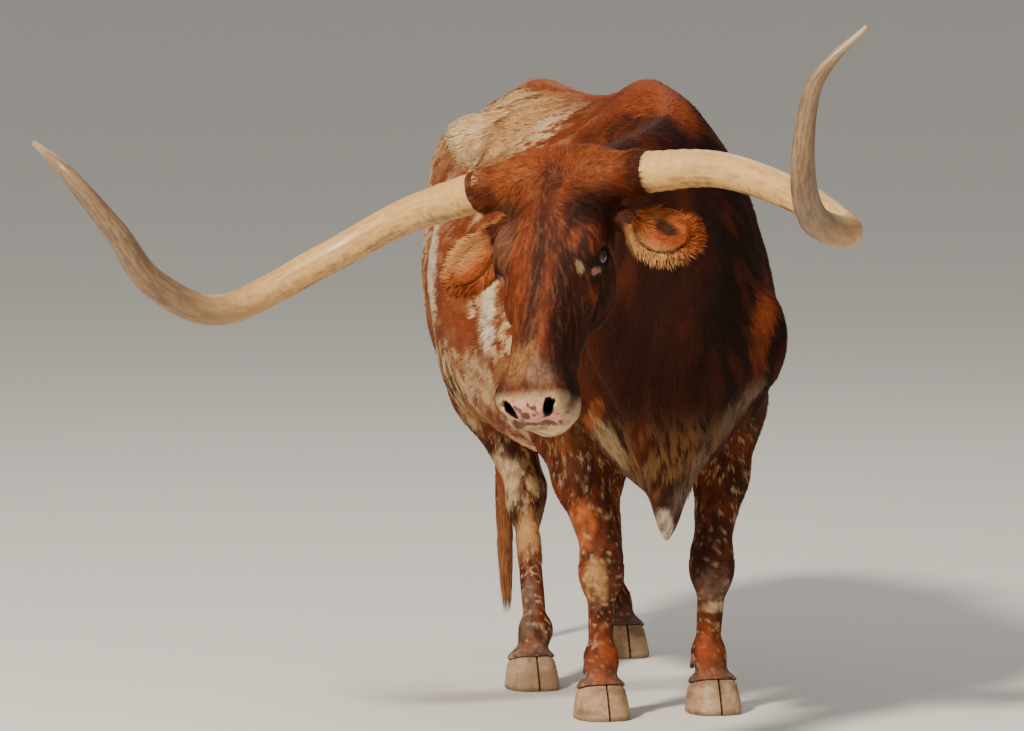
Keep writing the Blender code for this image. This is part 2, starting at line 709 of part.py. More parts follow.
def keep_behind(node, point, normal, gap=GAP / 2):
    """Cuts the solid with a plane, drops what lies ahead of it, and closes the cut with flat faces."""
    normal = Vector(normal).normalized()
    point = Vector(point) - normal * gap

    def cut(shape):
        everything = shape.verts[:] + shape.edges[:] + shape.faces[:]
        made = bmesh.ops.bisect_plane(
            shape, geom=everything, dist=1e-6, plane_co=point, plane_no=normal, clear_outer=True
        )
        rim = [e for e in made["geom_cut"] if isinstance(e, bmesh.types.BMEdge)]
        rim = [e for e in rim if len(e.link_faces) == 1]
        if rim:
            bmesh.ops.holes_fill(shape, edges=rim, sides=0)

    edit(node, cut)
    keep_largest(node)


def keep_largest(node):
    """Drops every closed surface but the one with the most area."""

    def drop(shape):
        left = set(shape.faces)
        groups = []
        while left:
            queue = [left.pop()]
            group = list(queue)
            while queue:
                face = queue.pop()
                for edge in face.edges:
                    for other in edge.link_faces:
                        if other in left:
                            left.remove(other)
                            queue.append(other)
                            group.append(other)
            groups.append(group)
        groups.sort(key=lambda g: sum(f.calc_area() for f in g))
        scraps = [f for group in groups[:-1] for f in group]
        if scraps:
            bmesh.ops.delete(shape, geom=scraps, context="FACES")
            loose = [v for v in shape.verts if not v.link_faces]
            bmesh.ops.delete(shape, geom=loose, context="VERTS")

    edit(node, drop)


def convex_block(planes, low, high):
    """A closed block: a box from low to high, cut by (point, normal) planes."""
    low, high = Vector(low), Vector(high)
    middle, size = (low + high) / 2, high - low

    block = mesh_object("block", [], [])
    shape = bmesh.new()
    place = Matrix.Translation(middle) @ Matrix.Diagonal(size.to_4d())
    bmesh.ops.create_cube(shape, size=1.0, matrix=place)
    shape.to_mesh(block.data)
    shape.free()
    for point, normal in planes:
        keep_behind(block, point, normal, -GAP / 2)
    return block


def subtract(node, cutter, solver="EXACT"):
    """Cuts another object's shape out of the solid, and removes the cutter."""
    boolean = node.modifiers.new("Cut", "BOOLEAN")
    boolean.operation = "DIFFERENCE"
    boolean.solver = solver
    boolean.object = cutter
    apply_modifiers(node)
    mesh = cutter.data
    bpy.data.objects.remove(cutter)
    bpy.data.meshes.remove(mesh)
    keep_largest(node)


# The planes that part the flesh, as (point, normal). The side that the normal leaves is kept.
SHOULDER_PLANE = ((0.0, -0.47, 1.46), (0.06, -0.88, 0.47))
HIND_TOP = 0.93


def reversed_plane(plane):
    point, normal = plane
    return (point, tuple(-n for n in normal))


def head_plane():
    """Behind the poll and the angle of the jaw. Its normal points to the neck."""
    along = HEAD[1].T @ np.array([0.0, -0.791, -0.611])
    return (head_point(0.0, -0.130, -0.030), along)


def fore_leg_planes(s):
    """A fore leg keeps what is below the elbow line and clear of the brisket and the belly."""
    return [
        ((s * 0.13, -0.40, 0.600), (-s * 0.67, 0.0, 0.74)),
        ((0.0, -0.565, 0.0), (0.0, -1.0, 0.0)),
        ((0.0, -0.240, 0.0), (0.0, 1.0, 0.0)),
        ((s * 0.02, 0.0, 0.0), (-s, 0.0, 0.0)),
    ]


HIND_FRONT = {"left": 0.36, "right": 0.225}


def hind_leg_planes(name):
    """A hind leg keeps the thigh, behind the fold of the flank and below the hip."""
    s = SIDES[name]
    return [
        ((0.0, 0.0, HIND_TOP), (0.0, 0.0, 1.0)),
        ((0.0, HIND_FRONT[name], 0.62), (0.0, -0.87, 0.50)),
        ((0.0, 0.0, 0.0), (-s, 0.0, 0.0)),
    ]


FORE_SPLIT = 0.345
HIND_SPLITS = {"left": 0.455, "right": 0.435}
BODY_LOW, BODY_HIGH = (-0.50, -1.26, 0.40), (0.48, 1.10, 1.56)
BODY_STEP = 0.014
BODY_TRIANGLES = 3900
LEG_STEP = 0.009
LEG_TRIANGLES = 1320
LEG_MARGIN_LOW = (0.20, 0.27, 0.03)
LEG_MARGIN_HIGH = (0.20, 0.46, 0.12)
HEAD_STEP = 0.0045
HEAD_TRIANGLES = 4300
HEAD_LOW, HEAD_HIGH = (-0.26, -0.36, -0.09), (0.26, 0.05, 0.68)
EAR_STEP = 0.004
EAR_LOW, EAR_HIGH = (-0.045, -0.055, -0.085), (0.225, 0.045, 0.085)
REACH = 2.0

HOOF_TOP = 0.085
HOOF_SLOPE = 0.25
TOE = 0.076
HEEL = 0.064


def hoof_plane(spot):
    """The slanted plane between the hoof and the leg, with its normal down."""
    return ((spot[0], spot[1] - TOE * 0.7, HOOF_TOP), (0.0, -HOOF_SLOPE, -1.0))


def make_torso_and_neck():
    body = flesh_object("torso", FLESH, WORLD, BODY_LOW, BODY_HIGH, BODY_STEP, BODY_TRIANGLES)
    neck = mesh_object("neck", get_points(body), [p.vertices for p in body.data.polygons])
    keep_behind(body, *SHOULDER_PLANE)
    for name, s in SIDES.items():
        subtract(body, convex_block(fore_leg_planes(s), (-REACH, -REACH, -0.1), (REACH, REACH, 1.4)))
        subtract(body, convex_block(hind_leg_planes(name), (-REACH, -REACH, -0.1), (REACH, REACH, 1.4)))
    keep_behind(body, *TAIL_PLANE)
    keep_behind(neck, *reversed_plane(SHOULDER_PLANE))
    keep_behind(neck, *reversed_plane(head_plane()))
    return body, neck


TAIL_PLANE = ((0.0, 0.985, 1.32), (0.0, 1.0, -0.10))


def make_leg(kind, name, joints, spot, planes, split):
    """The upper and the lower node of one leg."""
    places = np.array(list(joints.values()) + [(spot[0], spot[1], 0.0)])
    low = places.min(0) - LEG_MARGIN_LOW
    high = places.max(0) + LEG_MARGIN_HIGH
    whole = flesh_object("leg", FLESH, WORLD, low, high, LEG_STEP, LEG_TRIANGLES)
    made = []
    for part in ("upper", "lower"):
        label = kind + "_leg_" + part + "_" + name
        node = mesh_object(label, get_points(whole), [p.vertices for p in whole.data.polygons])
        height = (0.0, 0.0, split)
        keep_behind(node, height, (0.0, 0.0, 1.0 if part == "lower" else -1.0))
        for plane in planes if part == "upper" else (planes[-1], hoof_plane(spot)):
            keep_behind(node, *plane)
        made.append(node)
    mesh = whole.data
    bpy.data.objects.remove(whole)
    bpy.data.meshes.remove(mesh)
    return made


def make_head():
    head = flesh_object("head", FLESH, HEAD, HEAD_LOW, HEAD_HIGH, HEAD_STEP, HEAD_TRIANGLES)
    keep_behind(head, *head_plane())
    for s in SIDES.values():
        out = HEAD[1].T @ np.array([s, 0.0, 0.0])
        keep_behind(head, head_point(*horn_root(s)), out)
        subtract(head, ear_block(s))
        subtract(head, ball("eye_socket", head_point(*on_side(EYE, s)), EYE_RADIUS + 2 * GAP))
    return head


def ear_frame(s):
    """The ear's own frame: along it to the tip, out of its cup, and across it."""
    out, ahead, down = EAR_AIMS[s]
    along = HEAD[1].T @ np.array([s * out, ahead, down])
    along /= np.linalg.norm(along)
    face = HEAD[1].T @ np.array([s * 0.15, 0.97, -0.05])
    face -= along * (face @ along)
    face /= np.linalg.norm(face)
    return (head_point(*on_side(EAR_ROOT, s)), np.array([along, face, np.cross(along, face)]))


def ear_masses(s):
    """A leaf with a deep cup that opens ahead, on a round stalk."""
    frame = ear_frame(s)
    leaf = [
        (-0.030, 0.0, 0.025, -0.025, 0.000, 0.025, 2.0, 2.0),
        (0.000, 0.0, 0.028, -0.027, 0.000, 0.024, 2.0, 2.0),
        (0.028, 0.0, 0.047, -0.032, -0.002, 0.020, 2.0, 2.0),
        (0.062, 0.0, 0.066, -0.036, -0.002, 0.018, 2.0, 2.0),
        (0.098, 0.0, 0.071, -0.034, -0.002, 0.015, 2.0, 2.0),
        (0.134, 0.0, 0.062, -0.026, -0.002, 0.011, 2.0, 2.0),
        (0.166, 0.0, 0.038, -0.016, -0.002, 0.008, 2.0, 2.0),
        (EAR_LENGTH, 0.0, 0.008, -0.008, -0.002, 0.004, 2.0, 2.0),
    ]
    cup = ellipsoid(frame, (0.094, 0.016, 0.0), (0.069, 0.036, 0.053))
    return [(loft(frame, "zyx", leaf, 0.01), "join", 0.0), (cup, "cut", 0.008)]


def ear_plane(s):
    """Across the ear's stalk. Its normal points to the tip."""
    origin, axes = ear_frame(s)
    return (origin, axes[0])


EAR_CLEARANCE = 0.043


def ear_block(s):
    """What the head leaves free for an ear: a short prism past the ear's root, round its axis."""
    origin, axes = ear_frame(s)
    corners = []
    for along in (-GAP / 2, 0.12):
        for angle in np.radians(np.arange(0, 360, 45)):
            ring = EAR_CLEARANCE * np.array([math.cos(angle), math.sin(angle)])
            corners.append(origin + np.array([along, *ring]) @ axes)
    return hull("ear_block", corners)


def hull(name, points):
    """The convex solid round some points."""
    block = mesh_object(name, [], [])
    shape = bmesh.new()
    for point in points:
        shape.verts.new(tuple(point))
    bmesh.ops.convex_hull(shape, input=shape.verts[:])
    bmesh.ops.recalc_face_normals(shape, faces=shape.faces[:])
    shape.to_mesh(block.data)
    shape.free()
    return block


def make_ear(name):
    s = SIDES[name]
    ear = flesh_object("ear_" + name, ear_masses(s), ear_frame(s), EAR_LOW, EAR_HIGH, EAR_STEP, 420)
    keep_behind(ear, *reversed_plane(ear_plane(s)))
    return ear


def ball(name, centre, radius, rings=8, sides=14):
    node = mesh_object(name, [], [])
    shape = bmesh.new()
    place = Matrix.Translation(Vector(centre))
    bmesh.ops.create_uvsphere(shape, u_segments=sides, v_segments=rings, radius=radius, matrix=place)
    shape.to_mesh(node.data)
    shape.free()
    return node


def make_eye(name):
    return ball("eye_" + name, head_point(*on_side(EYE, SIDES[name])), EYE_RADIUS)


def ringed_tube(name, points, radii, sides, first_normal=None, first_gap=0.0):
    """A closed tube of rings along points. A first ring may lie in a given plane."""
    points = np.asarray(points)
    ahead = np.gradient(points, axis=0)
    ahead /= np.linalg.norm(ahead, axis=1)[:, None]
    side = np.cross(ahead[0], (0.0, 0.0, 1.0))
    rings = []
    for i, point in enumerate(points):
        side = side - ahead[i] * (side @ ahead[i])
        side /= np.linalg.norm(side)
        other = np.cross(ahead[i], side)
        angles = np.arange(sides) * 2 * math.pi / sides
        ring = point + radii[i] * (np.outer(np.cos(angles), side) + np.outer(np.sin(angles), other))
        rings.append(ring)
    if first_normal is not None:
        root, normal = first_normal
        shift = ((root + normal * first_gap - rings[0]) @ normal) / (ahead[0] @ normal)
        rings[0] = rings[0] + np.outer(shift, ahead[0])
    verts = np.vstack(rings)
    faces = []
    for i in range(len(points) - 1):
        for j in range(sides):
            k = (j + 1) % sides
            faces.append((i * sides + j, i * sides + k, (i + 1) * sides + k, (i + 1) * sides + j))
    last = (len(points) - 1) * sides
    faces.append(tuple(range(sides))[::-1])
    faces.append(tuple(last + j for j in range(sides)))
    node = mesh_object(name, verts, faces)
    edit(node, lambda shape: bmesh.ops.recalc_face_normals(shape, faces=shape.faces[:]))
    return node


def make_horn(name):
    s = SIDES[name]
    points, radii = horn_line(name, HORN_RINGS)
    normal = HEAD[1].T @ np.array([s, 0.0, 0.0])
    root = head_point(*horn_root(s))
    return ringed_tube("horn_" + name, points, radii, HORN_SIDES, (root, normal), GAP / 2)


# The hooves: two claws each, flat underneath.
CLAW_POINTS = 9


def make_claw(label, spot, s, size=1.0):
    """One claw: a flat sole, a sloping wall and a top that meets the leg."""
    levels = [
        (0.000, 0.0635, 0.97, 0.000),
        (0.005, 0.0670, 1.00, 0.000),
        (0.040, 0.0625, 0.90, 0.007),
        (None, 0.0560, 0.78, 0.014),
    ]
    plane_point, plane_normal = hoof_plane(spot)
    verts = []
    for height, width, share, back in levels:
        for k in range(CLAW_POINTS):
            angle = math.pi * k / (CLAW_POINTS - 1)
            out = 0.0025 + (width * size - 0.0025) * math.sin(angle) ** 0.62
            length = HEEL if k < CLAW_POINTS / 2 else TOE
            y = spot[1] + back - (-math.cos(angle)) * length * share * size
            x = spot[0] + s * out
            if height is None:
                rise = (plane_normal[1] * (plane_point[1] - y)) / -plane_normal[2]
                z = plane_point[2] - rise - GAP
            else:
                z = height
            verts.append((x, y, z))
    n = CLAW_POINTS
    faces = [tuple(range(n))[::-1], tuple(3 * n + k for k in range(n))]
    for level in range(3):
        for k in range(n):
            j = (k + 1) % n
            low = level * n
            faces.append((low + k, low + j, low + n + j, low + n + k))
    node = mesh_object(label, verts, faces)
    edit(node, lambda shape: bmesh.ops.recalc_face_normals(shape, faces=shape.faces[:]))
    return node


# The tail hangs behind the thighs to a switch of long hair.
TAIL_PATH = [
    (0.000, 0.940, 1.330),
    (0.000, 1.000, 1.316),
    (0.000, 1.052, 1.262),
    (0.002, 1.068, 1.150),
    (0.006, 1.066, 0.950),
    (0.015, 1.060, 0.750),
    (0.024, 1.055, 0.600),
]
TAIL_RADII = [0.042, 0.036, 0.031, 0.027, 0.022, 0.018, 0.016]
SWITCH_END = (0.034, 1.040, 0.085)
SWITCH_MIDDLE = (0.029, 1.048)


def make_tail():
    path = [list(p) + [r] for p, r in zip(TAIL_PATH, TAIL_RADII)]
    line = spline(path, 22)
    tail = ringed_tube("tail", line[:, :3], line[:, 3], 10)
    keep_behind(tail, *reversed_plane(TAIL_PLANE))
    keep_behind(tail, TAIL_PATH[-1], (0.0, 0.0, -1.0))
    return tail


SWITCH_LOCKS = 15
LOCK_STATIONS = 5


def make_lock(points, widths, thickness):
    """A flat tapered lock: sections are diamonds, wide across and thin, that close to a point."""
    points = np.array(points)
    count = len(points)
    ahead = np.gradient(points, axis=0)
    outward = points - np.array([SWITCH_MIDDLE[0], SWITCH_MIDDLE[1], 0.0])
    outward[:, 2] = 0.0
    side = np.cross(ahead, outward)
    side /= np.linalg.norm(side, axis=1)[:, None]
    flat = np.cross(side, ahead)
    flat /= np.linalg.norm(flat, axis=1)[:, None]
    verts = []
    for i in range(count - 1):
        for across, deep in ((1, 0), (0, 1), (-1, 0), (0, -1)):
            verts.append(points[i] + side[i] * across * widths[i] + flat[i] * deep * thickness)
    verts.append(points[-1])
    faces = [(3, 2, 1, 0)]
    for i in range(count - 2):
        for j in range(4):
            k = (j + 1) % 4
            faces.append((4 * i + j, 4 * i + k, 4 * i + 4 + k, 4 * i + 4 + j))
    last = 4 * (count - 2)
    faces += [(last + j, last + (j + 1) % 4, len(verts) - 1) for j in range(4)]
    lock = mesh_object("lock", verts, faces)
    edit(lock, lambda shape: bmesh.ops.recalc_face_normals(shape, faces=shape.faces[:]))
    return lock


def switch_locks():
    """Locks in three tiers down the core, each bending out and then in to its own tip."""
    draw = random.Random(7)
    top, end = np.array(TAIL_PATH[-1]), np.array(SWITCH_END)
    locks = []
    for i in range(SWITCH_LOCKS):
        tier = i % 3
        turn = i * 2.399963 + draw.uniform(-0.2, 0.2)
        start = 0.06 + 0.20 * tier + draw.uniform(-0.02, 0.02)
        stop = min(1.0, 0.62 + 0.19 * tier + draw.uniform(-0.05, 0.05))
        bulge = (0.021, 0.024, 0.020)[tier]
        points, widths = [], []
        for k in range(LOCK_STATIONS):
            t = k / (LOCK_STATIONS - 1)
            share = start + (stop - start) * t
            reach = 0.010 + bulge * math.sin(math.pi * min(1.0, 0.12 + 0.78 * t)) ** 0.8
            reach *= 1.0 - 0.45 * t**3
            angle = turn + 0.5 * t * (1 if i % 2 else -1)
            middle = top + (end - top) * share
            points.append(middle + (reach * math.cos(angle), reach * math.sin(angle), 0.0))
            widths.append(0.0200 * (1.0 - t) ** 0.55 * (0.70 + 0.30 * math.sin(math.pi * t)))
        locks.append(make_lock(points, widths, 0.0050))
    return locks


def unite(node, pieces):
    """Joins the pieces to the solid in one Boolean union, and removes them."""
    group = bpy.data.collections.new("pieces")
    for piece in pieces:
        group.objects.link(piece)
    boolean = node.modifiers.new("Join", "BOOLEAN")
    boolean.operation = "UNION"
    boolean.operand_type = "COLLECTION"
    boolean.solver = "MANIFOLD"
    boolean.collection = group
    apply_modifiers(node)
    for piece in pieces:
        bpy.data.objects.remove(piece)
    bpy.data.collections.remove(group)
    keep_largest(node)


def make_tail_switch():
    """A slim core with locks of long hair all round it, out to the tips."""
    top = np.array(TAIL_PATH[-1])
    end = np.array(SWITCH_END)
    shares = [0.0, 0.12, 0.35, 0.6, 0.80, 0.93]
    radii = [0.0165, 0.023, 0.026, 0.023, 0.015, 0.005]
    points = [top + (end - top) * t for t in shares]
    points[0] = top + (0.0, 0.0, 0.02)
    switch = ringed_tube("tail_switch", points, radii, 10)
    unite(switch, switch_locks())
    keep_behind(switch, TAIL_PATH[-1], (0.0, 0.0, 1.0))
    return switch


# Materials: base colour, roughness.
COATS = {
    "flesh": ((0.27, 0.10, 0.05, 1.0), 0.75),
    "horn": ((0.72, 0.62, 0.46, 1.0), 0.38),
    "hoof": ((0.33, 0.28, 0.22, 1.0), 0.55),
    "eye": ((0.02, 0.012, 0.01, 1.0), 0.08),
    "hair": ((0.30, 0.17, 0.09, 1.0), 0.7),
}


def finish(node, coat):
    """Gives the object its own material."""
    color, roughness = COATS[coat]
    material = bpy.data.materials.new(node.name)
    material.use_nodes = True
    shader = material.node_tree.nodes["Principled BSDF"]
    shader.inputs["Base Color"].default_value = color
    shader.inputs["Roughness"].default_value = roughness
    shader.inputs["Metallic"].default_value = 0.0
    node.data.materials.clear()
    node.data.materials.append(material)
    node.data.shade_smooth()
    node.data.set_sharp_from_angle(angle=math.radians(50))
    node.location = (-ORIGIN_X, -ORIGIN_Y, 0.0)


def main():
    for old in list(bpy.data.objects):
        bpy.data.objects.remove(old)
    nodes = {"flesh": [make_head()], "horn": [], "hoof": [], "eye": [], "hair": []}
    nodes["flesh"] += make_torso_and_neck()
    nodes["flesh"].append(make_tail())
    for name, s in SIDES.items():
        fore_spot, hind_spot = HOOF_SPOTS["fore_" + name], HOOF_SPOTS["hind_" + name]
        nodes["flesh"] += make_leg("fore", name, FORE_LEGS[name], fore_spot, fore_leg_planes(s), FORE_SPLIT)
        nodes["flesh"] += make_leg(
            "hind", name, HIND_LEGS[name], hind_spot, hind_leg_planes(name), HIND_SPLITS[name]
        )
        nodes["flesh"].append(make_ear(name))
        nodes["horn"].append(make_horn(name))
        nodes["eye"].append(make_eye(name))
        for kind, spot in (("fore", fore_spot), ("hind", hind_spot)):
            for claw_name, claw_side in (("outer", s), ("inner", -s)):
                label = kind + "_hoof_" + name + "_" + claw_name
                nodes["hoof"].append(make_claw(label, spot, claw_side))
    nodes["hair"].append(make_tail_switch())
    for coat, group in nodes.items():
        for node in group:
            finish(node, coat)


if __name__ == "__main__":
    main()
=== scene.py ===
"""The Texas longhorn's finished look: one skin with its coat, horns, hooves and eyes.

Metres, +Z up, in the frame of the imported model. The skin's shape repeats the masses of the model.
"""
import math

import bmesh
import bpy
import numpy as np
from mathutils import Matrix, Vector
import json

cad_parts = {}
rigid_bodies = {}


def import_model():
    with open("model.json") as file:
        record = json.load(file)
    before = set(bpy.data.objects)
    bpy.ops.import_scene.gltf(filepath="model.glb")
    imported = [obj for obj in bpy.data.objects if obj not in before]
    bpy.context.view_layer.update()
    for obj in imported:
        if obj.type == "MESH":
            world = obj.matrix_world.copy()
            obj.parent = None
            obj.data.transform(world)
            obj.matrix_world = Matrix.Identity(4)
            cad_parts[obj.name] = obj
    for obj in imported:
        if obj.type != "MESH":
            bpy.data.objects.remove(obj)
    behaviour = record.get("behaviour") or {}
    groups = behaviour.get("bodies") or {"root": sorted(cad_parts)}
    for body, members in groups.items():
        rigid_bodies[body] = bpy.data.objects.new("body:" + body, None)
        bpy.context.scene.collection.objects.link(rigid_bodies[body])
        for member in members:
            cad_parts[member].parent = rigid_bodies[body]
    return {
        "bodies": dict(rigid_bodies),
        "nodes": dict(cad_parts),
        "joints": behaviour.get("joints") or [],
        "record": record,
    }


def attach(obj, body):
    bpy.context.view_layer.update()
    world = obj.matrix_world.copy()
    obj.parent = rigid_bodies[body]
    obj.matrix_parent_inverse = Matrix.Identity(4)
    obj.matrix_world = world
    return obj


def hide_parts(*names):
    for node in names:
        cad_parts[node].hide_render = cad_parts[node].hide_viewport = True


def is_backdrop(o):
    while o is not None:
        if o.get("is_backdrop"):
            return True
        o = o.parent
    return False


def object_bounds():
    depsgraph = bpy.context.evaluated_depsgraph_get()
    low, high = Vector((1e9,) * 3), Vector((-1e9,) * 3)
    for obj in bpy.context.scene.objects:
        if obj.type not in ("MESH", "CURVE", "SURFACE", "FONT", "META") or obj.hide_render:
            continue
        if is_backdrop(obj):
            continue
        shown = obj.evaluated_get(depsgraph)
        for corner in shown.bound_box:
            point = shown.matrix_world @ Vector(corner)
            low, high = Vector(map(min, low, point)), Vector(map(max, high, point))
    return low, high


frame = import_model()
cad_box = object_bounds()

# Where the middle of each hoof stands: x, y.
HOOF_SPOTS = {
    "fore_right": (-0.129, -0.432),
    "fore_left": (0.156, -0.392),
    "hind_right": (-0.135, 0.170),
    "hind_left": (0.262, 0.765),
}
SIDES = {"left": 1.0, "right": -1.0}

# Head pose: the turn to its right, the lean of the face from upright, and the tilt, in degrees.
HEAD_TURN = 40.0
HEAD_LEAN = 34.0
HEAD_TILT = 7.5
POLL = np.array([0.156, -0.599, 1.364])


def head_axes():
    """Unit vectors of the head: to its left, out of its face, and down its face."""
    turn, lean, tilt = (math.radians(a) for a in (HEAD_TURN, HEAD_LEAN, HEAD_TILT))
    ahead = np.array([-math.sin(turn), -math.cos(turn), 0.0])
    level = np.array([math.cos(turn), -math.sin(turn), 0.0])
    up = np.array([0.0, 0.0, 1.0])
    out = ahead * math.cos(lean) + up * math.sin(lean)
    down = ahead * math.sin(lean) - up * math.cos(lean)
    left = level * math.cos(tilt) - down * math.sin(tilt)
    down = down * math.cos(tilt) + level * math.sin(tilt)
    return np.array([left, out, down])


HEAD = (POLL, head_axes())
# The trunk and the legs are written in places of their own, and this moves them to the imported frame.
SHIFT = np.array([0.600, 0.553, 0.0])
WORLD = (SHIFT, np.eye(3))


def head_point(left, out, down):
    """World point from a place in the head's own frame."""
    return POLL + np.array([left, out, down]) @ HEAD[1]


# The signed distance shapes. Each is a box of influence and a function of local points.


class Shape:
    """A rounded mass in a frame, with the box, in that frame, outside which it is far away."""

    def __init__(self, frame, low, high, distance):
        self.frame = frame
        self.low = np.array(low, float)
        self.high = np.array(high, float)
        self.distance = distance

    def local(self, points):
        origin, axes = self.frame
        return (points - origin) @ axes.T


def turned(frame, origin, degrees=(0.0, 0.0, 0.0)):
    """A frame placed in another one and turned about its own x, y and z axes."""
    base_origin, base_axes = frame
    turn = Matrix.Rotation(math.radians(degrees[2]), 3, "Z")
    turn = turn @ Matrix.Rotation(math.radians(degrees[1]), 3, "Y")
    turn = turn @ Matrix.Rotation(math.radians(degrees[0]), 3, "X")
    axes = np.array(turn.transposed()) @ base_axes
    return (base_origin + np.array(origin, float) @ base_axes, axes)


def ellipsoid(frame, centre, radii, degrees=(0.0, 0.0, 0.0)):
    """An ellipsoid with its own centre, three radii and turn."""
    radii = np.array(radii, float)

    def distance(q):
        k0 = np.sqrt(((q / radii) ** 2).sum(1)) + 1e-9
        k1 = np.sqrt(((q / radii**2) ** 2).sum(1)) + 1e-9
        return k0 * (k0 - 1.0) / k1

    return Shape(turned(frame, centre, degrees), -radii, radii, distance)


def cone(frame, start, end, start_radius, end_radius):
    """A round-ended limb between two points, with a radius at each end."""
    start, end = np.array(start, float), np.array(end, float)
    along = end - start
    length_squared = float(along @ along)
    reach = max(start_radius, end_radius)

    def distance(q):
        share = np.clip(((q - start) @ along) / length_squared, 0.0, 1.0)
        nearest = start + share[:, None] * along
        radius = start_radius + (end_radius - start_radius) * share
        return np.sqrt(((q - nearest) ** 2).sum(1)) - radius

    low = np.minimum(start, end) - reach
    high = np.maximum(start, end) + reach
    return Shape(frame, low, high, distance)


def eased(knots, values, places):
    """Values between knots along a smooth curve through them, flat past both ends."""
    knots, values = np.array(knots, float), np.array(values, float)
    slopes = np.gradient(values, knots)
    places = np.clip(places, knots[0], knots[-1])
    index = np.clip(np.searchsorted(knots, places) - 1, 0, len(knots) - 2)
    width = knots[index + 1] - knots[index]
    t = (places - knots[index]) / width
    first = values[index] * (1 + 2 * t) * (1 - t) ** 2
    first += slopes[index] * width * t * (1 - t) ** 2
    second = values[index + 1] * t**2 * (3 - 2 * t)
    second += slopes[index + 1] * width * t**2 * (t - 1)
    return first + second


LOFT_SAMPLES = 160


def loft(frame, order, stations, round_end=0.02):
    """A mass with parallel sections along one axis.

    order names the local axes as (across, height, along). A station is
    (along, middle across, half width, low, widest level, high, power below, power above).
    """
    across, height, along = ("xyz".index(letter) for letter in order)
    table = np.array(stations, float)
    places = np.linspace(table[0, 0], table[-1, 0], LOFT_SAMPLES)
    columns = [eased(table[:, 0], table[:, c], places) for c in range(1, 8)]

    def distance(q):
        t = q[:, along]
        middle, half, low, level, high, power_low, power_high = (
            np.interp(t, places, column) for column in columns
        )
        side = q[:, across] - middle
        rise = q[:, height] - level
        above = rise > 0
        reach = np.where(above, high - level, level - low)
        power = np.where(above, power_high, power_low)
        share = (np.abs(side / half) ** power + np.abs(rise / reach) ** power) ** (1 / power)
        radius = np.sqrt(side**2 + rise**2) + 1e-6
        skin = radius - radius / np.maximum(share, 1e-4)
        ends = np.maximum(places[0] - t, t - places[-1])
        return smooth_max(skin, ends, round_end)

    low, high = np.empty(3), np.empty(3)
    low[across] = (table[:, 1] - table[:, 2]).min()
    high[across] = (table[:, 1] + table[:, 2]).max()
    low[height], high[height] = table[:, 3].min(), table[:, 5].max()
    low[along], high[along] = places[0], places[-1]
    return Shape(frame, low, high, distance)


def smooth_min(a, b, blend):
    if blend <= 0:
        return np.minimum(a, b)
    near = np.maximum(blend - np.abs(a - b), 0.0) / blend
    return np.minimum(a, b) - near**2 * blend * 0.25


def smooth_max(a, b, blend):
    return -smooth_min(-a, -b, blend)


# How the field is worked out: spans in metres, and counts.
CULL_MARGIN = 0.05
GROUP = 6000
GROUP_SPAN = 0.05
BLOCK = 4
NEAR_BLOCKS = 1.7
CLEAR_ROUNDS = 12
SETTLE_LIMIT = 0.003


class Mass:
    """A shape with its action and blend, and the ball outside which it can be left out."""

    def __init__(self, shape, action, blend):
        self.shape, self.action, self.blend = shape, action, blend
        self.margin = blend + CULL_MARGIN
        middle = (shape.low + shape.high) / 2
        self.centre = shape.frame[0] + middle @ shape.frame[1]
        self.reach = float(np.linalg.norm((shape.high - shape.low) / 2 + self.margin))


def evaluate(masses, points):
    """The flesh's signed distance at points. Points far apart are worked out in separate groups."""
    return gather([Mass(*mass) for mass in masses], points)


def gather(masses, points):
    """The field of the masses that come near the points."""
    if not len(points):
        return np.zeros(0)
    low, high = points.min(0), points.max(0)
    masses = [m for m in masses if np.linalg.norm(np.clip(m.centre, low, high) - m.centre) < m.reach]
    axis = int((high - low).argmax())
    if len(points) > GROUP and high[axis] - low[axis] > GROUP_SPAN:
        side = points[:, axis] < (low[axis] + high[axis]) / 2
        field = np.empty(len(points))
        field[side] = gather(masses, points[side])
        field[~side] = gather(masses, points[~side])
        return field
    field = np.full(len(points), 1.0)
    for mass in masses:
        local = mass.shape.local(points)
        inside = ((local > mass.shape.low - mass.margin) & (local < mass.shape.high + mass.margin)).all(1)
        if not inside.any():
            continue
        value = mass.shape.distance(local[inside])
        if mass.action == "join":
            field[inside] = smooth_min(field[inside], value, mass.blend)
        else:
            field[inside] = smooth_max(field[inside], -value, mass.blend)
    return field


def clear_corners(field):
    """Fills the outside points that meet only across a corner, so that the skin never pinches."""
    for _ in range(CLEAR_ROUNDS):
        changed = 0
        for u, v in ((0, 1), (1, 2), (0, 2)):
            parts = []
            for shift_u, shift_v in ((0, 0), (1, 1), (1, 0), (0, 1)):
                window = [slice(None)] * 3
                window[u] = slice(shift_u, field.shape[u] - 1 + shift_u)
                window[v] = slice(shift_v, field.shape[v] - 1 + shift_v)
                parts.append(field[tuple(window)])
            a, d, b, c = parts
            inside_a, inside_b = a < 0, b < 0
            pinched = (inside_a == (d < 0)) & (inside_b == (c < 0)) & (inside_a != inside_b)
            first = pinched & ~inside_a
            second = pinched & inside_a
            a[first] = -1e-5
            b[second] = -1e-5
            changed += int(pinched.sum())
        if not changed:
            break


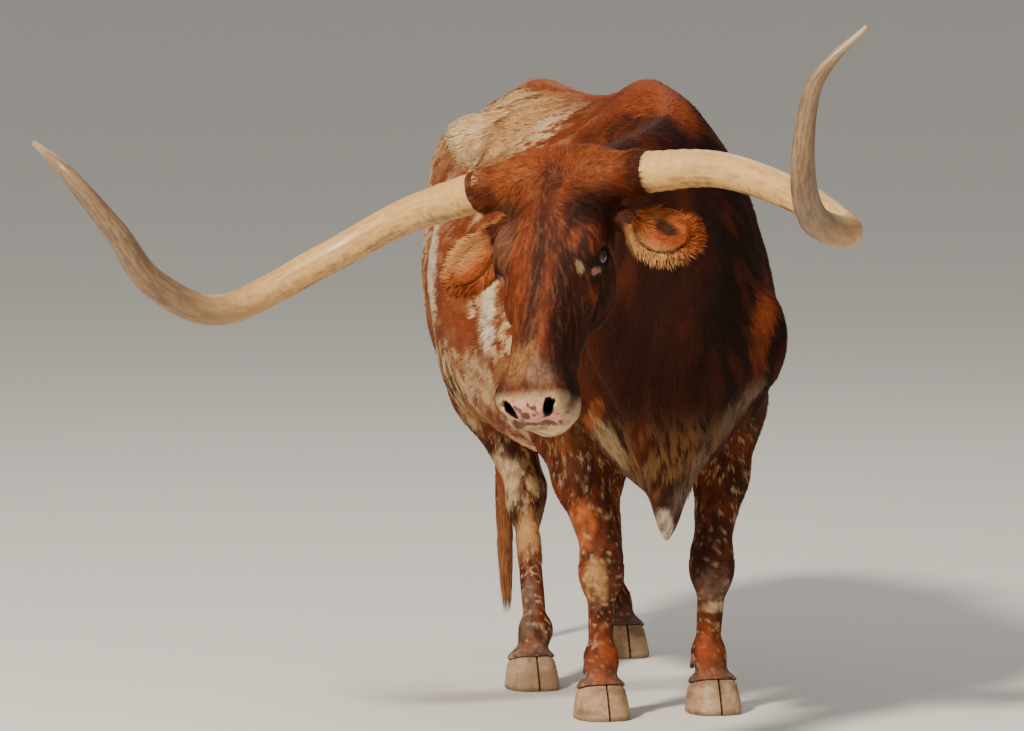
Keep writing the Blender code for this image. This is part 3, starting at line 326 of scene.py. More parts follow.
def grid_field(value, frame, low, high, step):
    """The field on a grid in a frame. Only the blocks near the skin are worked out in full."""
    origin, turn = frame
    low = np.array(low, float)
    counts = np.ceil((np.array(high, float) - low) / (step * BLOCK)).astype(int) + 1
    axes = [low[i] + np.arange(counts[i]) * step * BLOCK for i in range(3)]
    corners = np.stack(np.meshgrid(*axes, indexing="ij"), -1).reshape(-1, 3)
    coarse = value(origin + corners @ turn).reshape(counts)
    near = np.abs(coarse) < step * BLOCK * NEAR_BLOCKS
    active = np.zeros(counts - 1, bool)
    for shift in np.ndindex(2, 2, 2):
        active |= near[tuple(slice(s, s + n - 1) for s, n in zip(shift, counts))]
    fine, mask = coarse[:-1, :-1, :-1], active
    for axis in range(3):
        fine = np.repeat(fine, BLOCK, axis)
        mask = np.repeat(mask, BLOCK, axis)
    fine[mask] = value(origin + (low + np.argwhere(mask) * step) @ turn)
    for axis in range(3):
        for end in (0, -1):
            edge = [slice(None)] * 3
            edge[axis] = end
            fine[tuple(edge)] = np.maximum(fine[tuple(edge)], step)
    clear_corners(fine)
    return fine, low


def skin_mesh(value, frame, low, high, step):
    """Points and quads of the field's zero surface, with one point in each cell that it crosses."""
    field, low = grid_field(value, frame, low, high, step)
    inside = field < 0
    sizes = tuple(n - 1 for n in field.shape)
    total = np.zeros(sizes + (3,), np.float32)
    crossings = np.zeros(sizes, np.int16)
    for corner in np.ndindex(2, 2, 2):
        for axis in range(3):
            if corner[axis]:
                continue
            other = list(corner)
            other[axis] = 1
            a = field[tuple(slice(c, c + n) for c, n in zip(corner, sizes))]
            b = field[tuple(slice(c, c + n) for c, n in zip(other, sizes))]
            crossed = (a < 0) != (b < 0)
            share = np.where(crossed, a / np.where(crossed, a - b, 1.0), 0.0)
            for i in range(3):
                place = corner[i] + (share if i == axis else 0.0)
                total[..., i] += np.where(crossed, place, 0.0)
            crossings += crossed
    used = crossings > 0
    number = np.full(sizes, -1, np.int64)
    number[used] = np.arange(used.sum())
    points = low + (np.argwhere(used) + total[used] / crossings[used][:, None]) * step
    quads = []
    for axis in range(3):
        shift_u, shift_v = np.roll(np.eye(3, dtype=int), -axis - 1, 0)[:2]
        keep = tuple(slice(0 if i == axis else 1, n - 1) for i, n in enumerate(field.shape))
        crossed = np.zeros_like(inside)
        crossed[keep] = (inside != np.roll(inside, -1, axis))[keep]
        place = np.argwhere(crossed)
        ring = [place - shift_u - shift_v, place - shift_v, place, place - shift_u]
        quad = np.stack([number[tuple(r.T)] for r in ring], 1)
        flip = ~inside[tuple(place.T)]
        quad[flip] = quad[flip][:, ::-1]
        quads.append(quad)
    return frame[0] + points @ frame[1], np.vstack(quads)


def settle(value, points):
    """Moves points onto the skin, along the field's slope."""
    reach = 0.001
    here = value(points)
    ahead = [value(points + reach * axis) - here for axis in np.eye(3)]
    slope = np.stack(ahead, 1) / reach
    move = here / np.maximum((slope**2).sum(1), 0.25)
    return points - np.clip(move, -SETTLE_LIMIT, SETTLE_LIMIT)[:, None] * slope


# The masses of the steer: the torso, the neck, the legs and the head.


def both_sides(build):
    """The masses of a pair, from a function of the side's sign."""
    return [mass for side in SIDES.values() for mass in build(side)]


def trunk_masses():
    """Barrel, shoulders and hips. A station runs across the body at one distance from the chest."""
    barrel = [
        (-0.80, -0.02, 0.060, 0.800, 0.93, 1.060, 2.0, 2.0),
        (-0.74, -0.02, 0.150, 0.680, 0.94, 1.220, 2.0, 2.0),
        (-0.62, -0.01, 0.215, 0.590, 0.95, 1.400, 2.0, 1.8),
        (-0.42, 0.0, 0.250, 0.560, 0.95, 1.484, 2.1, 1.55),
        (-0.20, 0.0, 0.300, 0.570, 0.95, 1.464, 2.2, 1.65),
        (0.00, 0.0, 0.330, 0.560, 0.95, 1.446, 2.2, 1.75),
        (0.20, 0.0, 0.345, 0.556, 0.96, 1.440, 2.2, 1.80),
        (0.40, 0.0, 0.332, 0.590, 0.98, 1.448, 2.2, 1.80),
        (0.60, 0.0, 0.268, 0.680, 1.03, 1.464, 2.1, 1.60),
        (0.78, 0.0, 0.215, 0.800, 1.08, 1.418, 2.0, 1.75),
        (0.92, 0.0, 0.150, 0.930, 1.12, 1.362, 2.0, 1.9),
        (0.98, 0.0, 0.070, 1.030, 1.15, 1.290, 2.0, 2.0),
    ]

    def side_masses(s):
        blade_turn, arm_turn = (-12, -s * 10, 0), (-20, 0, 0)
        return [
            (ellipsoid(WORLD, (s * 0.150, -0.40, 1.09), (0.092, 0.150, 0.30), blade_turn), "join", 0.08),
            (ellipsoid(WORLD, (s * 0.183, -0.47, 0.90), (0.080, 0.145, 0.20), arm_turn), "join", 0.08),
            (ellipsoid(WORLD, (s * 0.165, -0.66, 0.90), (0.085, 0.085, 0.12)), "join", 0.08),
            (ellipsoid(WORLD, (s * 0.195, 0.52, 1.325), (0.050, 0.080, 0.045)), "join", 0.10),
            (ellipsoid(WORLD, (s * 0.120, 0.92, 1.270), (0.050, 0.065, 0.060)), "join", 0.08),
            (ellipsoid(WORLD, (s * 0.135, 0.75, 1.10), (0.105, 0.225, 0.25), (18, 0, 0)), "join", 0.08),
            (ellipsoid(WORLD, (s * 0.290, 0.37, 1.235), (0.050, 0.100, 0.060)), "cut", 0.10),
        ]

    masses = [(loft(WORLD, "xzy", barrel, 0.05), "join", 0.0)]
    masses += both_sides(side_masses)
    tail_root = cone(WORLD, (0.0, 0.86, 1.345), (0.0, 1.02, 1.312), 0.052, 0.034)
    return masses + [(tail_root, "join", 0.06)]


def neck_masses():
    """The neck bends to the right, from the shoulders to the back of the skull."""
    nape = [
        (-1.17, -0.395, 0.085, 1.130, 1.22, 1.320, 2.0, 2.0),
        (-1.08, -0.345, 0.120, 1.050, 1.18, 1.352, 2.0, 1.9),
        (-0.96, -0.250, 0.150, 0.970, 1.14, 1.378, 2.0, 1.7),
        (-0.78, -0.115, 0.185, 0.860, 1.10, 1.408, 2.0, 1.6),
        (-0.60, -0.030, 0.205, 0.780, 1.08, 1.438, 2.0, 1.6),
        (-0.42, 0.000, 0.205, 0.750, 1.08, 1.460, 2.0, 1.6),
        (-0.30, 0.000, 0.150, 0.800, 1.08, 1.450, 2.0, 1.6),
    ]
    dewlap = [
        (-1.09, -0.350, 0.045, 0.960, 1.03, 1.12, 2.0, 2.0),
        (-1.00, -0.285, 0.052, 0.865, 0.99, 1.12, 2.0, 2.0),
        (-0.90, -0.205, 0.052, 0.755, 0.92, 1.10, 1.8, 2.0),
        (-0.80, -0.118, 0.060, 0.580, 0.84, 1.05, 1.5, 2.0),
        (-0.74, -0.072, 0.072, 0.458, 0.78, 1.00, 1.35, 2.0),
        (-0.68, -0.040, 0.085, 0.436, 0.72, 0.95, 1.35, 2.0),
        (-0.60, -0.020, 0.095, 0.485, 0.70, 0.92, 1.5, 2.0),
        (-0.46, -0.010, 0.100, 0.535, 0.72, 0.92, 1.8, 2.0),
        (-0.34, 0.000, 0.060, 0.560, 0.72, 0.90, 2.0, 2.0),
    ]
    return [
        (loft(WORLD, "xzy", nape, 0.05), "join", 0.09),
        (loft(WORLD, "xzy", dewlap, 0.04), "join", 0.05),
    ]


# Each leg's joints from the top down, as world points.
FORE_LEGS = {
    "right": {
        "elbow": (-0.215, -0.365, 0.760),
        "forearm": (-0.170, -0.405, 0.560),
        "knee": (-0.132, -0.440, 0.345),
        "fetlock": (-0.128, -0.425, 0.138),
    },
    "left": {
        "elbow": (0.215, -0.330, 0.760),
        "forearm": (0.182, -0.365, 0.560),
        "knee": (0.150, -0.400, 0.345),
        "fetlock": (0.146, -0.385, 0.138),
    },
}
HIND_LEGS = {
    "right": {
        "thigh": (-0.180, 0.580, 0.930),
        "stifle": (-0.200, 0.400, 0.800),
        "gaskin": (-0.150, 0.500, 0.690),
        "hock": (-0.098, 0.355, 0.430),
        "fetlock": (-0.120, 0.190, 0.138),
    },
    "left": {
        "thigh": (0.185, 0.690, 0.930),
        "stifle": (0.220, 0.540, 0.815),
        "gaskin": (0.205, 0.690, 0.700),
        "hock": (0.240, 0.820, 0.450),
        "fetlock": (0.248, 0.790, 0.138),
    },
}


def shifted(point, x=0.0, y=0.0, z=0.0):
    return np.array(point) + (x, y, z)


def pastern_masses(fetlock, spot):
    """Fetlock, dewclaws, pastern and the crown of the hoof."""
    crown = (spot[0], spot[1] + 0.005, 0.085)
    masses = [
        (ellipsoid(WORLD, fetlock, (0.042, 0.043, 0.042)), "join", 0.02),
        (cone(WORLD, fetlock, crown, 0.037, 0.040), "join", 0.02),
        (ellipsoid(WORLD, shifted(crown, z=-0.014), (0.061, 0.064, 0.034)), "join", 0.012),
    ]
    for side in SIDES.values():
        root = shifted(fetlock, side * 0.022, 0.028, -0.010)
        tip = shifted(fetlock, side * 0.026, 0.050, -0.034)
        masses.append((cone(WORLD, root, tip, 0.015, 0.009), "join", 0.006))
    return masses


def fore_leg_masses(joints, spot, s):
    """A fore leg from the elbow down, straight, with a broad flat knee."""
    elbow, forearm, knee, fetlock = (joints[n] for n in ("elbow", "forearm", "knee", "fetlock"))
    cannon_top, cannon_end = shifted(knee, z=-0.04), shifted(fetlock, z=0.02)
    elbow_turn = (12, s * 8, 0)
    sinew_top, sinew_end = shifted(cannon_top, y=0.020), shifted(cannon_end, y=0.020)
    masses = [
        (ellipsoid(WORLD, shifted(elbow, z=-0.02), (0.078, 0.110, 0.130), elbow_turn), "join", 0.06),
        (cone(WORLD, shifted(elbow, z=-0.03), forearm, 0.082, 0.060), "join", 0.05),
        (ellipsoid(WORLD, shifted(elbow, y=0.075, z=0.005), (0.040, 0.045, 0.060)), "join", 0.05),
        (cone(WORLD, forearm, shifted(knee, z=0.05), 0.062, 0.046), "join", 0.04),
        (ellipsoid(WORLD, knee, (0.058, 0.050, 0.070)), "join", 0.035),
        (ellipsoid(WORLD, shifted(knee, y=0.040, z=0.012), (0.026, 0.028, 0.034)), "join", 0.03),
        (cone(WORLD, cannon_top, cannon_end, 0.034, 0.030), "join", 0.025),
        (cone(WORLD, sinew_top, sinew_end, 0.024, 0.024), "join", 0.02),
    ]
    return masses + pastern_masses(fetlock, spot)


def hind_leg_masses(joints, spot, s):
    """A hind leg: thigh, stifle, gaskin with its tendon, hock and cannon."""
    thigh, stifle, gaskin, hock, fetlock = (
        joints[n] for n in ("thigh", "stifle", "gaskin", "hock", "fetlock")
    )
    point = shifted(hock, y=0.062, z=0.062)
    cannon_top, cannon_end = shifted(hock, z=-0.04), shifted(fetlock, z=0.02)
    sinew_top, sinew_end = shifted(cannon_top, y=0.030), shifted(cannon_end, y=0.018)
    masses = [
        (ellipsoid(WORLD, thigh, (0.104, 0.200, 0.230), (26, 0, 0)), "join", 0.09),
        (ellipsoid(WORLD, stifle, (0.072, 0.115, 0.135), (10, 0, 0)), "join", 0.08),
        (cone(WORLD, shifted(stifle, z=-0.02), gaskin, 0.068, 0.078), "join", 0.07),
        (cone(WORLD, gaskin, shifted(hock, z=0.05), 0.080, 0.046), "join", 0.06),
        (cone(WORLD, shifted(gaskin, y=0.075, z=0.03), point, 0.045, 0.020), "join", 0.04),
        (ellipsoid(WORLD, shifted(hock, y=0.012, z=0.012), (0.050, 0.060, 0.068)), "join", 0.03),
        (ellipsoid(WORLD, point, (0.024, 0.026, 0.034)), "join", 0.03),
        (cone(WORLD, cannon_top, cannon_end, 0.031, 0.028), "join", 0.025),
        (cone(WORLD, sinew_top, sinew_end, 0.022, 0.022), "join", 0.02),
    ]
    return masses + pastern_masses(fetlock, spot)


def leg_masses():
    masses = []
    for name, s in SIDES.items():
        masses += fore_leg_masses(FORE_LEGS[name], HOOF_SPOTS["fore_" + name], s)
        masses += hind_leg_masses(HIND_LEGS[name], HOOF_SPOTS["hind_" + name], s)
    return masses


# Places on the head, in its own frame: to the left, out of the face, down the face.
EYE = (0.109, -0.062, 0.245)
EYE_RADIUS = 0.023
HORN_BASE = (0.0, -0.060, 0.035)
HORN_ROOT_OUT = {1.0: 0.209, -1.0: 0.189}
HORN_BASE_RADIUS = 0.049
EAR_ROOT = (0.150, -0.125, 0.112)
EAR_LENGTH = 0.186
EAR_AIMS = {1.0: (0.86, -0.03, 0.51), -1.0: (0.74, -0.26, 0.62)}
NOSTRIL = (0.042, -0.058, 0.612)


def horn_root(s):
    """The middle of a horn's base on the head."""
    return (s * HORN_ROOT_OUT[s], HORN_BASE[1], HORN_BASE[2])


def on_side(place, s):
    """The same place on the head's left for s = 1, or on its right for s = -1."""
    return (s * place[0], place[1], place[2])


# The horns: control points as (to the side, ahead, up) from the middle of the horn bases.
HORN_PATHS = {
    "left": [
        (0.200, 0.010, 0.000),
        (0.405, 0.030, -0.010),
        (0.615, 0.090, -0.083),
        (0.762, 0.175, -0.165),
        (0.772, 0.355, -0.132),
        (0.842, 0.540, -0.020),
        (0.905, 0.575, 0.155),
        (1.020, 0.540, 0.262),
    ],
    "right": [
        (0.186, 0.010, -0.006),
        (0.404, 0.000, -0.052),
        (0.582, 0.062, -0.131),
        (0.762, 0.231, -0.220),
        (0.840, 0.390, -0.147),
        (0.866, 0.495, -0.022),
        (0.925, 0.585, 0.119),
        (1.033, 0.530, 0.191),
    ],
}
HORN_RADII = [HORN_BASE_RADIUS, 0.0415, 0.0385, 0.0375, 0.0340, 0.0275, 0.0185, 0.0065]
HORN_TURN = 42.0
HORN_TILT = 6.0
HORN_RINGS = 26


def spline(points, count):
    """Points spread evenly along a Catmull-Rom curve through the given ones."""
    points = np.array(points, float)
    padded = np.vstack([2 * points[0] - points[1], points, 2 * points[-1] - points[-2]])
    dense = []
    for i in range(1, len(padded) - 2):
        p0, p1, p2, p3 = padded[i - 1 : i + 3]
        for t in np.linspace(0, 1, 40, endpoint=False):
            bend = (2 * p0 - 5 * p1 + 4 * p2 - p3) * t**2 + (3 * p1 - p0 - 3 * p2 + p3) * t**3
            dense.append(0.5 * (2 * p1 + (p2 - p0) * t + bend))
    dense = np.vstack([dense, points[-1]])
    run = np.r_[0, np.cumsum(np.linalg.norm(np.diff(dense, axis=0), axis=1))]
    places = np.linspace(0, run[-1], count)
    return np.stack([np.interp(places, run, dense[:, i]) for i in range(points.shape[1])], 1)


def horn_line(name, count):
    """World points and radii along a horn, from its base to its tip."""
    s = SIDES[name]
    turn, tilt = math.radians(HORN_TURN), math.radians(HORN_TILT)
    ahead = np.array([-math.sin(turn), -math.cos(turn), 0.0])
    level = np.array([math.cos(turn), -math.sin(turn), 0.0])
    up = np.array([0.0, 0.0, 1.0])
    across = level * math.cos(tilt) + up * math.sin(tilt)
    rise = up * math.cos(tilt) - level * math.sin(tilt)
    path = [list(p) + [r] for p, r in zip(HORN_PATHS[name], HORN_RADII)]
    line = spline(path, count)
    base = head_point(0.0, HORN_BASE[1], HORN_BASE[2])
    points = base + np.outer(line[:, 0] * s, across) + np.outer(line[:, 1], ahead)
    return points + np.outer(line[:, 2], rise), line[:, 3]


def horn_stub(s):
    """A point just inside the horn's first ring, in the head's frame."""
    points, _ = horn_line("left" if s > 0 else "right", HORN_RINGS)
    return tuple(HEAD[1] @ (points[0] + 0.25 * (points[1] - points[0]) - POLL))


# The roots of the horns and ears on the skull, the lids and the mouth, in the head's frame.
BOSS, BOSS_RADIUS = (0.09, -0.062, 0.034), 0.060
BOSS_END_RADIUS = HORN_BASE_RADIUS + 0.002
EAR_BUD, EAR_BUD_END = (0.100, -0.122, 0.105), (0.200, -0.126, 0.140)
UPPER_LID = [
    (0.116, -0.058, 0.213), (0.129, -0.046, 0.226), (0.133, -0.043, 0.243), (0.127, -0.050, 0.262),
]
LOWER_LID = [
    (0.118, -0.064, 0.214), (0.127, -0.079, 0.230), (0.128, -0.081, 0.248), (0.121, -0.068, 0.272),
]
UPPER_LID_RADIUS, LOWER_LID_RADIUS = 0.0062, 0.0045
MOUTH_RADIUS = 0.0064
MOUTH_SPREAD = 118
MOUTH_POINTS = 15
MOUTH_BLEND = 0.003
MOUTH_MIDDLE = 0.560


def head_masses():
    """Skull, brows, cheeks, muzzle, nostrils, lips and the roots of the horns and ears."""
    skull = [
        (-0.045, 0.0, 0.070, -0.130, -0.075, -0.025, 2.0, 2.0),
        (-0.020, 0.0, 0.115, -0.170, -0.080, -0.004, 2.0, 2.2),
        (0.060, 0.0, 0.132, -0.215, -0.085, 0.006, 2.0, 2.4),
        (0.140, 0.0, 0.122, -0.245, -0.095, 0.006, 2.0, 2.4),
        (0.235, 0.0, 0.116, -0.262, -0.090, 0.002, 1.9, 2.4),
        (0.330, 0.0, 0.092, -0.242, -0.095, -0.003, 1.9, 2.3),
        (0.420, 0.0, 0.074, -0.220, -0.095, -0.006, 1.9, 2.2),
        (0.500, 0.0, 0.072, -0.206, -0.092, -0.009, 2.0, 2.2),
        (0.560, 0.0, 0.079, -0.200, -0.092, -0.012, 2.2, 2.4),
        (0.605, 0.0, 0.081, -0.190, -0.095, -0.026, 2.3, 2.4),
        (0.634, 0.0, 0.056, -0.160, -0.095, -0.046, 2.2, 2.2),
    ]

    def side_masses(s):
        return [
            (ellipsoid(HEAD, on_side((0.060, -0.185, 0.235), s), (0.036, 0.082, 0.105)), "join", 0.04),
            (ellipsoid(HEAD, on_side((0.097, -0.040, 0.220), s), (0.032, 0.036, 0.056)), "join", 0.03),
            (ellipsoid(HEAD, on_side((0.084, -0.085, 0.320), s), (0.022, 0.026, 0.060)), "join", 0.03),
            (cone(HEAD, on_side(BOSS, s), horn_stub(s), BOSS_RADIUS, BOSS_END_RADIUS), "join", 0.045),
            (cone(HEAD, on_side(EAR_BUD, s), on_side(EAR_BUD_END, s), 0.032, 0.026), "join", 0.02),
            (ellipsoid(HEAD, on_side(EYE, s), (0.028, 0.030, 0.036)), "join", 0.016),
            (ellipsoid(HEAD, on_side((0.056, -0.054, 0.592), s), (0.026, 0.034, 0.036)), "join", 0.018),
            (ellipsoid(HEAD, on_side((0.054, -0.120, 0.575), s), (0.032, 0.036, 0.060)), "join", 0.02),
        ]

    def lids(s):
        """The upper lid is a heavy roll over the eye, and the lower lid a thinner one."""
        rolls = [(a, b, UPPER_LID_RADIUS) for a, b in zip(UPPER_LID, UPPER_LID[1:])]
        rolls += [(a, b, LOWER_LID_RADIUS) for a, b in zip(LOWER_LID, LOWER_LID[1:])]
        return [(cone(HEAD, on_side(a, s), on_side(b, s), r, r), "join", 0.006) for a, b, r in rolls]

    def side_cuts(s):
        opening = shifted(on_side(EYE, s), s * 0.030)
        nostril = turned(HEAD, on_side(NOSTRIL, s), (0, 0, -s * 24))
        wing = turned(HEAD, on_side((0.052, -0.042, 0.614), s), (0, s * 30, 0))
        return [
            (ellipsoid(HEAD, opening, (0.022, 0.0130, 0.0215)), "cut", 0.004),
            (ellipsoid(nostril, (0, 0, 0), (0.0120, 0.0270, 0.0240)), "cut", 0.005),
            (ellipsoid(wing, (0, 0, 0), (0.0090, 0.0090, 0.0200)), "cut", 0.005),
        ]

    nose = ellipsoid(HEAD, (0.0, -0.074, 0.592), (0.070, 0.054, 0.048))
    chin = ellipsoid(HEAD, (0.0, -0.178, 0.572), (0.050, 0.032, 0.054))
    masses = [(loft(HEAD, "xyz", skull, 0.03), "join", 0.05)]
    masses += both_sides(side_masses)
    masses += [(nose, "join", 0.02), (chin, "join", 0.02)]
    masses += both_sides(lids)
    mouth = mouth_line(masses)
    for a, b in zip(mouth, mouth[1:]):
        masses.append((cone(HEAD, a, b, MOUTH_RADIUS, MOUTH_RADIUS), "cut", MOUTH_BLEND))
    return masses + both_sides(side_cuts)


def mouth_line(masses):
    """Points on the muzzle's skin from one lip corner round to the other, in the head's frame."""
    line = []
    for angle in np.linspace(-MOUTH_SPREAD, MOUTH_SPREAD, MOUTH_POINTS):
        side, ahead = math.sin(math.radians(angle)), math.cos(math.radians(angle))
        drop = -0.132 - 0.010 * abs(side)
        rays = np.linspace(0.03, 0.13, 400)
        places = np.stack([rays * side, np.full_like(rays, drop), MOUTH_MIDDLE + rays * ahead], 1)
        inside = evaluate(masses, POLL + places @ HEAD[1]) < 0
        line.append(places[inside][-1])
    return line


FLESH = trunk_masses() + leg_masses() + neck_masses() + head_masses()


def head_plane():
    """Behind the poll and the angle of the jaw. Its normal points to the neck."""
    along = HEAD[1].T @ np.array([0.0, -0.791, -0.611])
    return (head_point(0.0, -0.130, -0.030), along)


HOOF_TOP = 0.085
HOOF_SLOPE = 0.25
TOE = 0.076
HEEL = 0.064


def hoof_plane(spot):
    """The slanted plane between the hoof and the leg, with its normal down."""
    return ((spot[0], spot[1] - TOE * 0.7, HOOF_TOP), (0.0, -HOOF_SLOPE, -1.0))


def ear_frame(s):
    """The ear's own frame: along it to the tip, out of its cup, and across it."""
    out, ahead, down = EAR_AIMS[s]
    along = HEAD[1].T @ np.array([s * out, ahead, down])
    along /= np.linalg.norm(along)
    face = HEAD[1].T @ np.array([s * 0.15, 0.97, -0.05])
    face -= along * (face @ along)
    face /= np.linalg.norm(face)
    return (head_point(*on_side(EAR_ROOT, s)), np.array([along, face, np.cross(along, face)]))


def ear_masses(s):
    """A leaf with a deep cup that opens ahead, on a round stalk."""
    frame = ear_frame(s)
    leaf = [
        (-0.030, 0.0, 0.025, -0.025, 0.000, 0.025, 2.0, 2.0),
        (0.000, 0.0, 0.028, -0.027, 0.000, 0.024, 2.0, 2.0),
        (0.028, 0.0, 0.047, -0.032, -0.002, 0.020, 2.0, 2.0),
        (0.062, 0.0, 0.066, -0.036, -0.002, 0.018, 2.0, 2.0),
        (0.098, 0.0, 0.071, -0.034, -0.002, 0.015, 2.0, 2.0),
        (0.134, 0.0, 0.062, -0.026, -0.002, 0.011, 2.0, 2.0),
        (0.166, 0.0, 0.038, -0.016, -0.002, 0.008, 2.0, 2.0),
        (EAR_LENGTH, 0.0, 0.008, -0.008, -0.002, 0.004, 2.0, 2.0),
    ]
    cup = ellipsoid(frame, (0.094, 0.016, 0.0), (0.069, 0.036, 0.053))
    return [(loft(frame, "zyx", leaf, 0.01), "join", 0.0), (cup, "cut", 0.008)]


TAIL_PATH = [
    (0.000, 0.940, 1.330),
    (0.000, 1.000, 1.316),
    (0.000, 1.052, 1.262),
    (0.002, 1.068, 1.150),
    (0.006, 1.066, 0.950),
    (0.015, 1.060, 0.750),
    (0.024, 1.055, 0.600),
]
TAIL_RADII = [0.042, 0.036, 0.031, 0.027, 0.022, 0.018, 0.016]
SWITCH_END = (0.034, 1.040, 0.085)


# Seeded noise, and colours.


def noise(points, scale, seed=0):
    """Smooth value noise from 0 to 1. scale is one number or one for each axis, in cells per metre."""
    q = points * np.asarray(scale, float) + 31.7 * seed
    cell = np.floor(q).astype(np.int64)
    f = q - cell
    f = f * f * (3.0 - 2.0 * f)
    total = np.zeros(len(points))
    for corner in np.ndindex(2, 2, 2):
        i = cell + corner
        key = (i[:, 0] * 73856093) ^ (i[:, 1] * 19349663) ^ (i[:, 2] * 83492791) ^ (seed * 7919 + 17)
        key = (key ^ (key >> 13)) * 1274126177 & 0xFFFFFFFF
        value = ((key ^ (key >> 16)) & 0xFFFF) / 65535.0
        total += value * np.prod(np.where(corner, f, 1.0 - f), 1)
    return total


def clouds(points, scale, seed=0, octaves=3):
    """Noise with finer and finer detail, from 0 to 1."""
    total, weight, amount = 0.0, 0.0, 1.0
    for octave in range(octaves):
        total = total + amount * noise(points, np.asarray(scale, float) * 2.0**octave, seed + 5 * octave)
        weight += amount
        amount *= 0.55
    return total / weight


def ramp(value, low, high):
    """0 below low, 1 above high, and smooth between."""
    t = np.clip((value - low) / (high - low), 0.0, 1.0)
    return t * t * (3.0 - 2.0 * t)


def rgb(red, green, blue):
    """A linear colour from display values of 0 to 255."""
    c = np.array([red, green, blue]) / 255.0
    return np.where(c <= 0.04045, c / 12.92, ((c + 0.055) / 1.055) ** 2.4)


def paint(colour, other, amount):
    """Lays another colour over the first by an amount from 0 to 1."""
    amount = np.clip(amount, 0.0, 1.0)[:, None]
    return colour * (1.0 - amount) + np.asarray(other) * amount


MAHOGANY = rgb(100, 42, 19)
DEEP = rgb(54, 24, 13)
BLACK = rgb(27, 15, 10)
ORANGE = rgb(166, 88, 42)
RUST = rgb(142, 66, 29)
TAN = rgb(190, 138, 84)
CREAM = rgb(222, 188, 140)
WHITE = rgb(232, 212, 180)
PINK = rgb(220, 158, 136)
GREY = rgb(128, 104, 84)

# The camera stands where the photographer stood. Places on the steer can be given as the photo's pixels.
CAMERA = np.array([-4.011, -15.794, 2.09])
CAMERA_TURN, CAMERA_DIP = math.radians(15.0), math.radians(4.36)
AHEAD = np.array([
    math.sin(CAMERA_TURN) * math.cos(CAMERA_DIP),
    math.cos(CAMERA_TURN) * math.cos(CAMERA_DIP),
    -math.sin(CAMERA_DIP),
])
RIGHT = np.array([math.cos(CAMERA_TURN), -math.sin(CAMERA_TURN), 0.0])
UP = np.cross(RIGHT, AHEAD)
VIEW = np.array([RIGHT, UP, -AHEAD])
FOCAL = 7095.0
IMAGE = (1024, 731)
# Metres on the steer for one pixel of the photo, how deep a patch reaches into it, and the line of sight.
PIXEL = 0.00231
PATCH_DEPTH = 0.13
PATCH_ROUGH = 0.45
SIGHT_START = 14.6
SIGHT_STEPS = 90


def on_skin(pixels):
    """Points of the skin seen at pixels of the photo, by stepping along each line of sight."""
    pixels = np.array(pixels, float)
    rays = AHEAD + np.outer((pixels[:, 0] - IMAGE[0] / 2) / FOCAL, RIGHT)
    rays += np.outer((IMAGE[1] / 2 - pixels[:, 1]) / FOCAL, UP)
    rays /= np.linalg.norm(rays, axis=1)[:, None]
    run = np.full(len(pixels), SIGHT_START)
    for _ in range(SIGHT_STEPS):
        run += np.clip(evaluate(FLESH, CAMERA + rays * run[:, None]) * 0.8, -0.02, 0.045)
    return CAMERA + rays * run[:, None]


def blob(points, centre, across, tall, turn, deep, rough, seed):
    """How far inside a rounded patch the points are: 1 at its middle, 0 outside, with a ragged edge."""
    q = (points - centre) @ VIEW.T
    c, s = math.cos(math.radians(turn)), math.sin(math.radians(turn))
    x = (q[:, 0] * c + q[:, 1] * s) / across
    y = (-q[:, 0] * s + q[:, 1] * c) / tall
    reach = np.sqrt(x**2 + y**2 + (q[:, 2] / deep) ** 2)
    reach += rough * (clouds(points, 55.0, seed) - 0.5) * 2.0
    reach += 0.5 * rough * (noise(points, 240.0, seed + 5) - 0.5)
    return 1.0 - ramp(reach, 0.60, 1.20)


# The skin's regions.
EAR_FRAMES = {name: ear_frame(s) for name, s in SIDES.items()}


def leg_lines():
    """The middle line of each leg, from the top down."""
    lines = {}
    for name in SIDES:
        for kind, joints in (("fore", FORE_LEGS), ("hind", HIND_LEGS)):
            label = kind + "_" + name
            line = list(joints[name].values()) + [HOOF_SPOTS[label] + (0.04,)]
            lines[label] = np.array(sorted(line, key=lambda p: -p[2])) + SHIFT
    return lines


LEG_LINES = leg_lines()


def head_places(points):
    """Places in the head's frame: to the left, out of the face, down the face."""
    return (points - POLL) @ HEAD[1].T


THROAT = -0.31


def behind_head(points):
    """Distance behind the plane at the back of the skull, or below the throat."""
    point, normal = head_plane()
    return np.maximum((points - point) @ normal, THROAT - head_places(points)[:, 1])


def ear_share(points):
    """1 on the ears, and each point's place in the nearer ear's frame."""
    share = np.zeros(len(points))
    place = np.zeros((len(points), 3))
    for origin, axes in EAR_FRAMES.values():
        q = (points - origin) @ axes.T
        near = (q[:, 1] > -0.06) & (q[:, 1] < 0.02) & (np.abs(q[:, 2]) < 0.09) & (q[:, 0] < 0.22)
        here = ramp(q[:, 0], 0.0, 0.03) * near
        place = np.where((here > share)[:, None], q, place)
        share = np.maximum(share, here)
    return share, place


def leg_offset(points, name):
    """Offsets of the points from a leg's middle line at their height."""
    line = LEG_LINES[name][::-1]
    middle = np.stack([np.interp(points[:, 2], line[:, 2], line[:, i]) for i in (0, 1)], 1)
    return points[:, :2] - middle


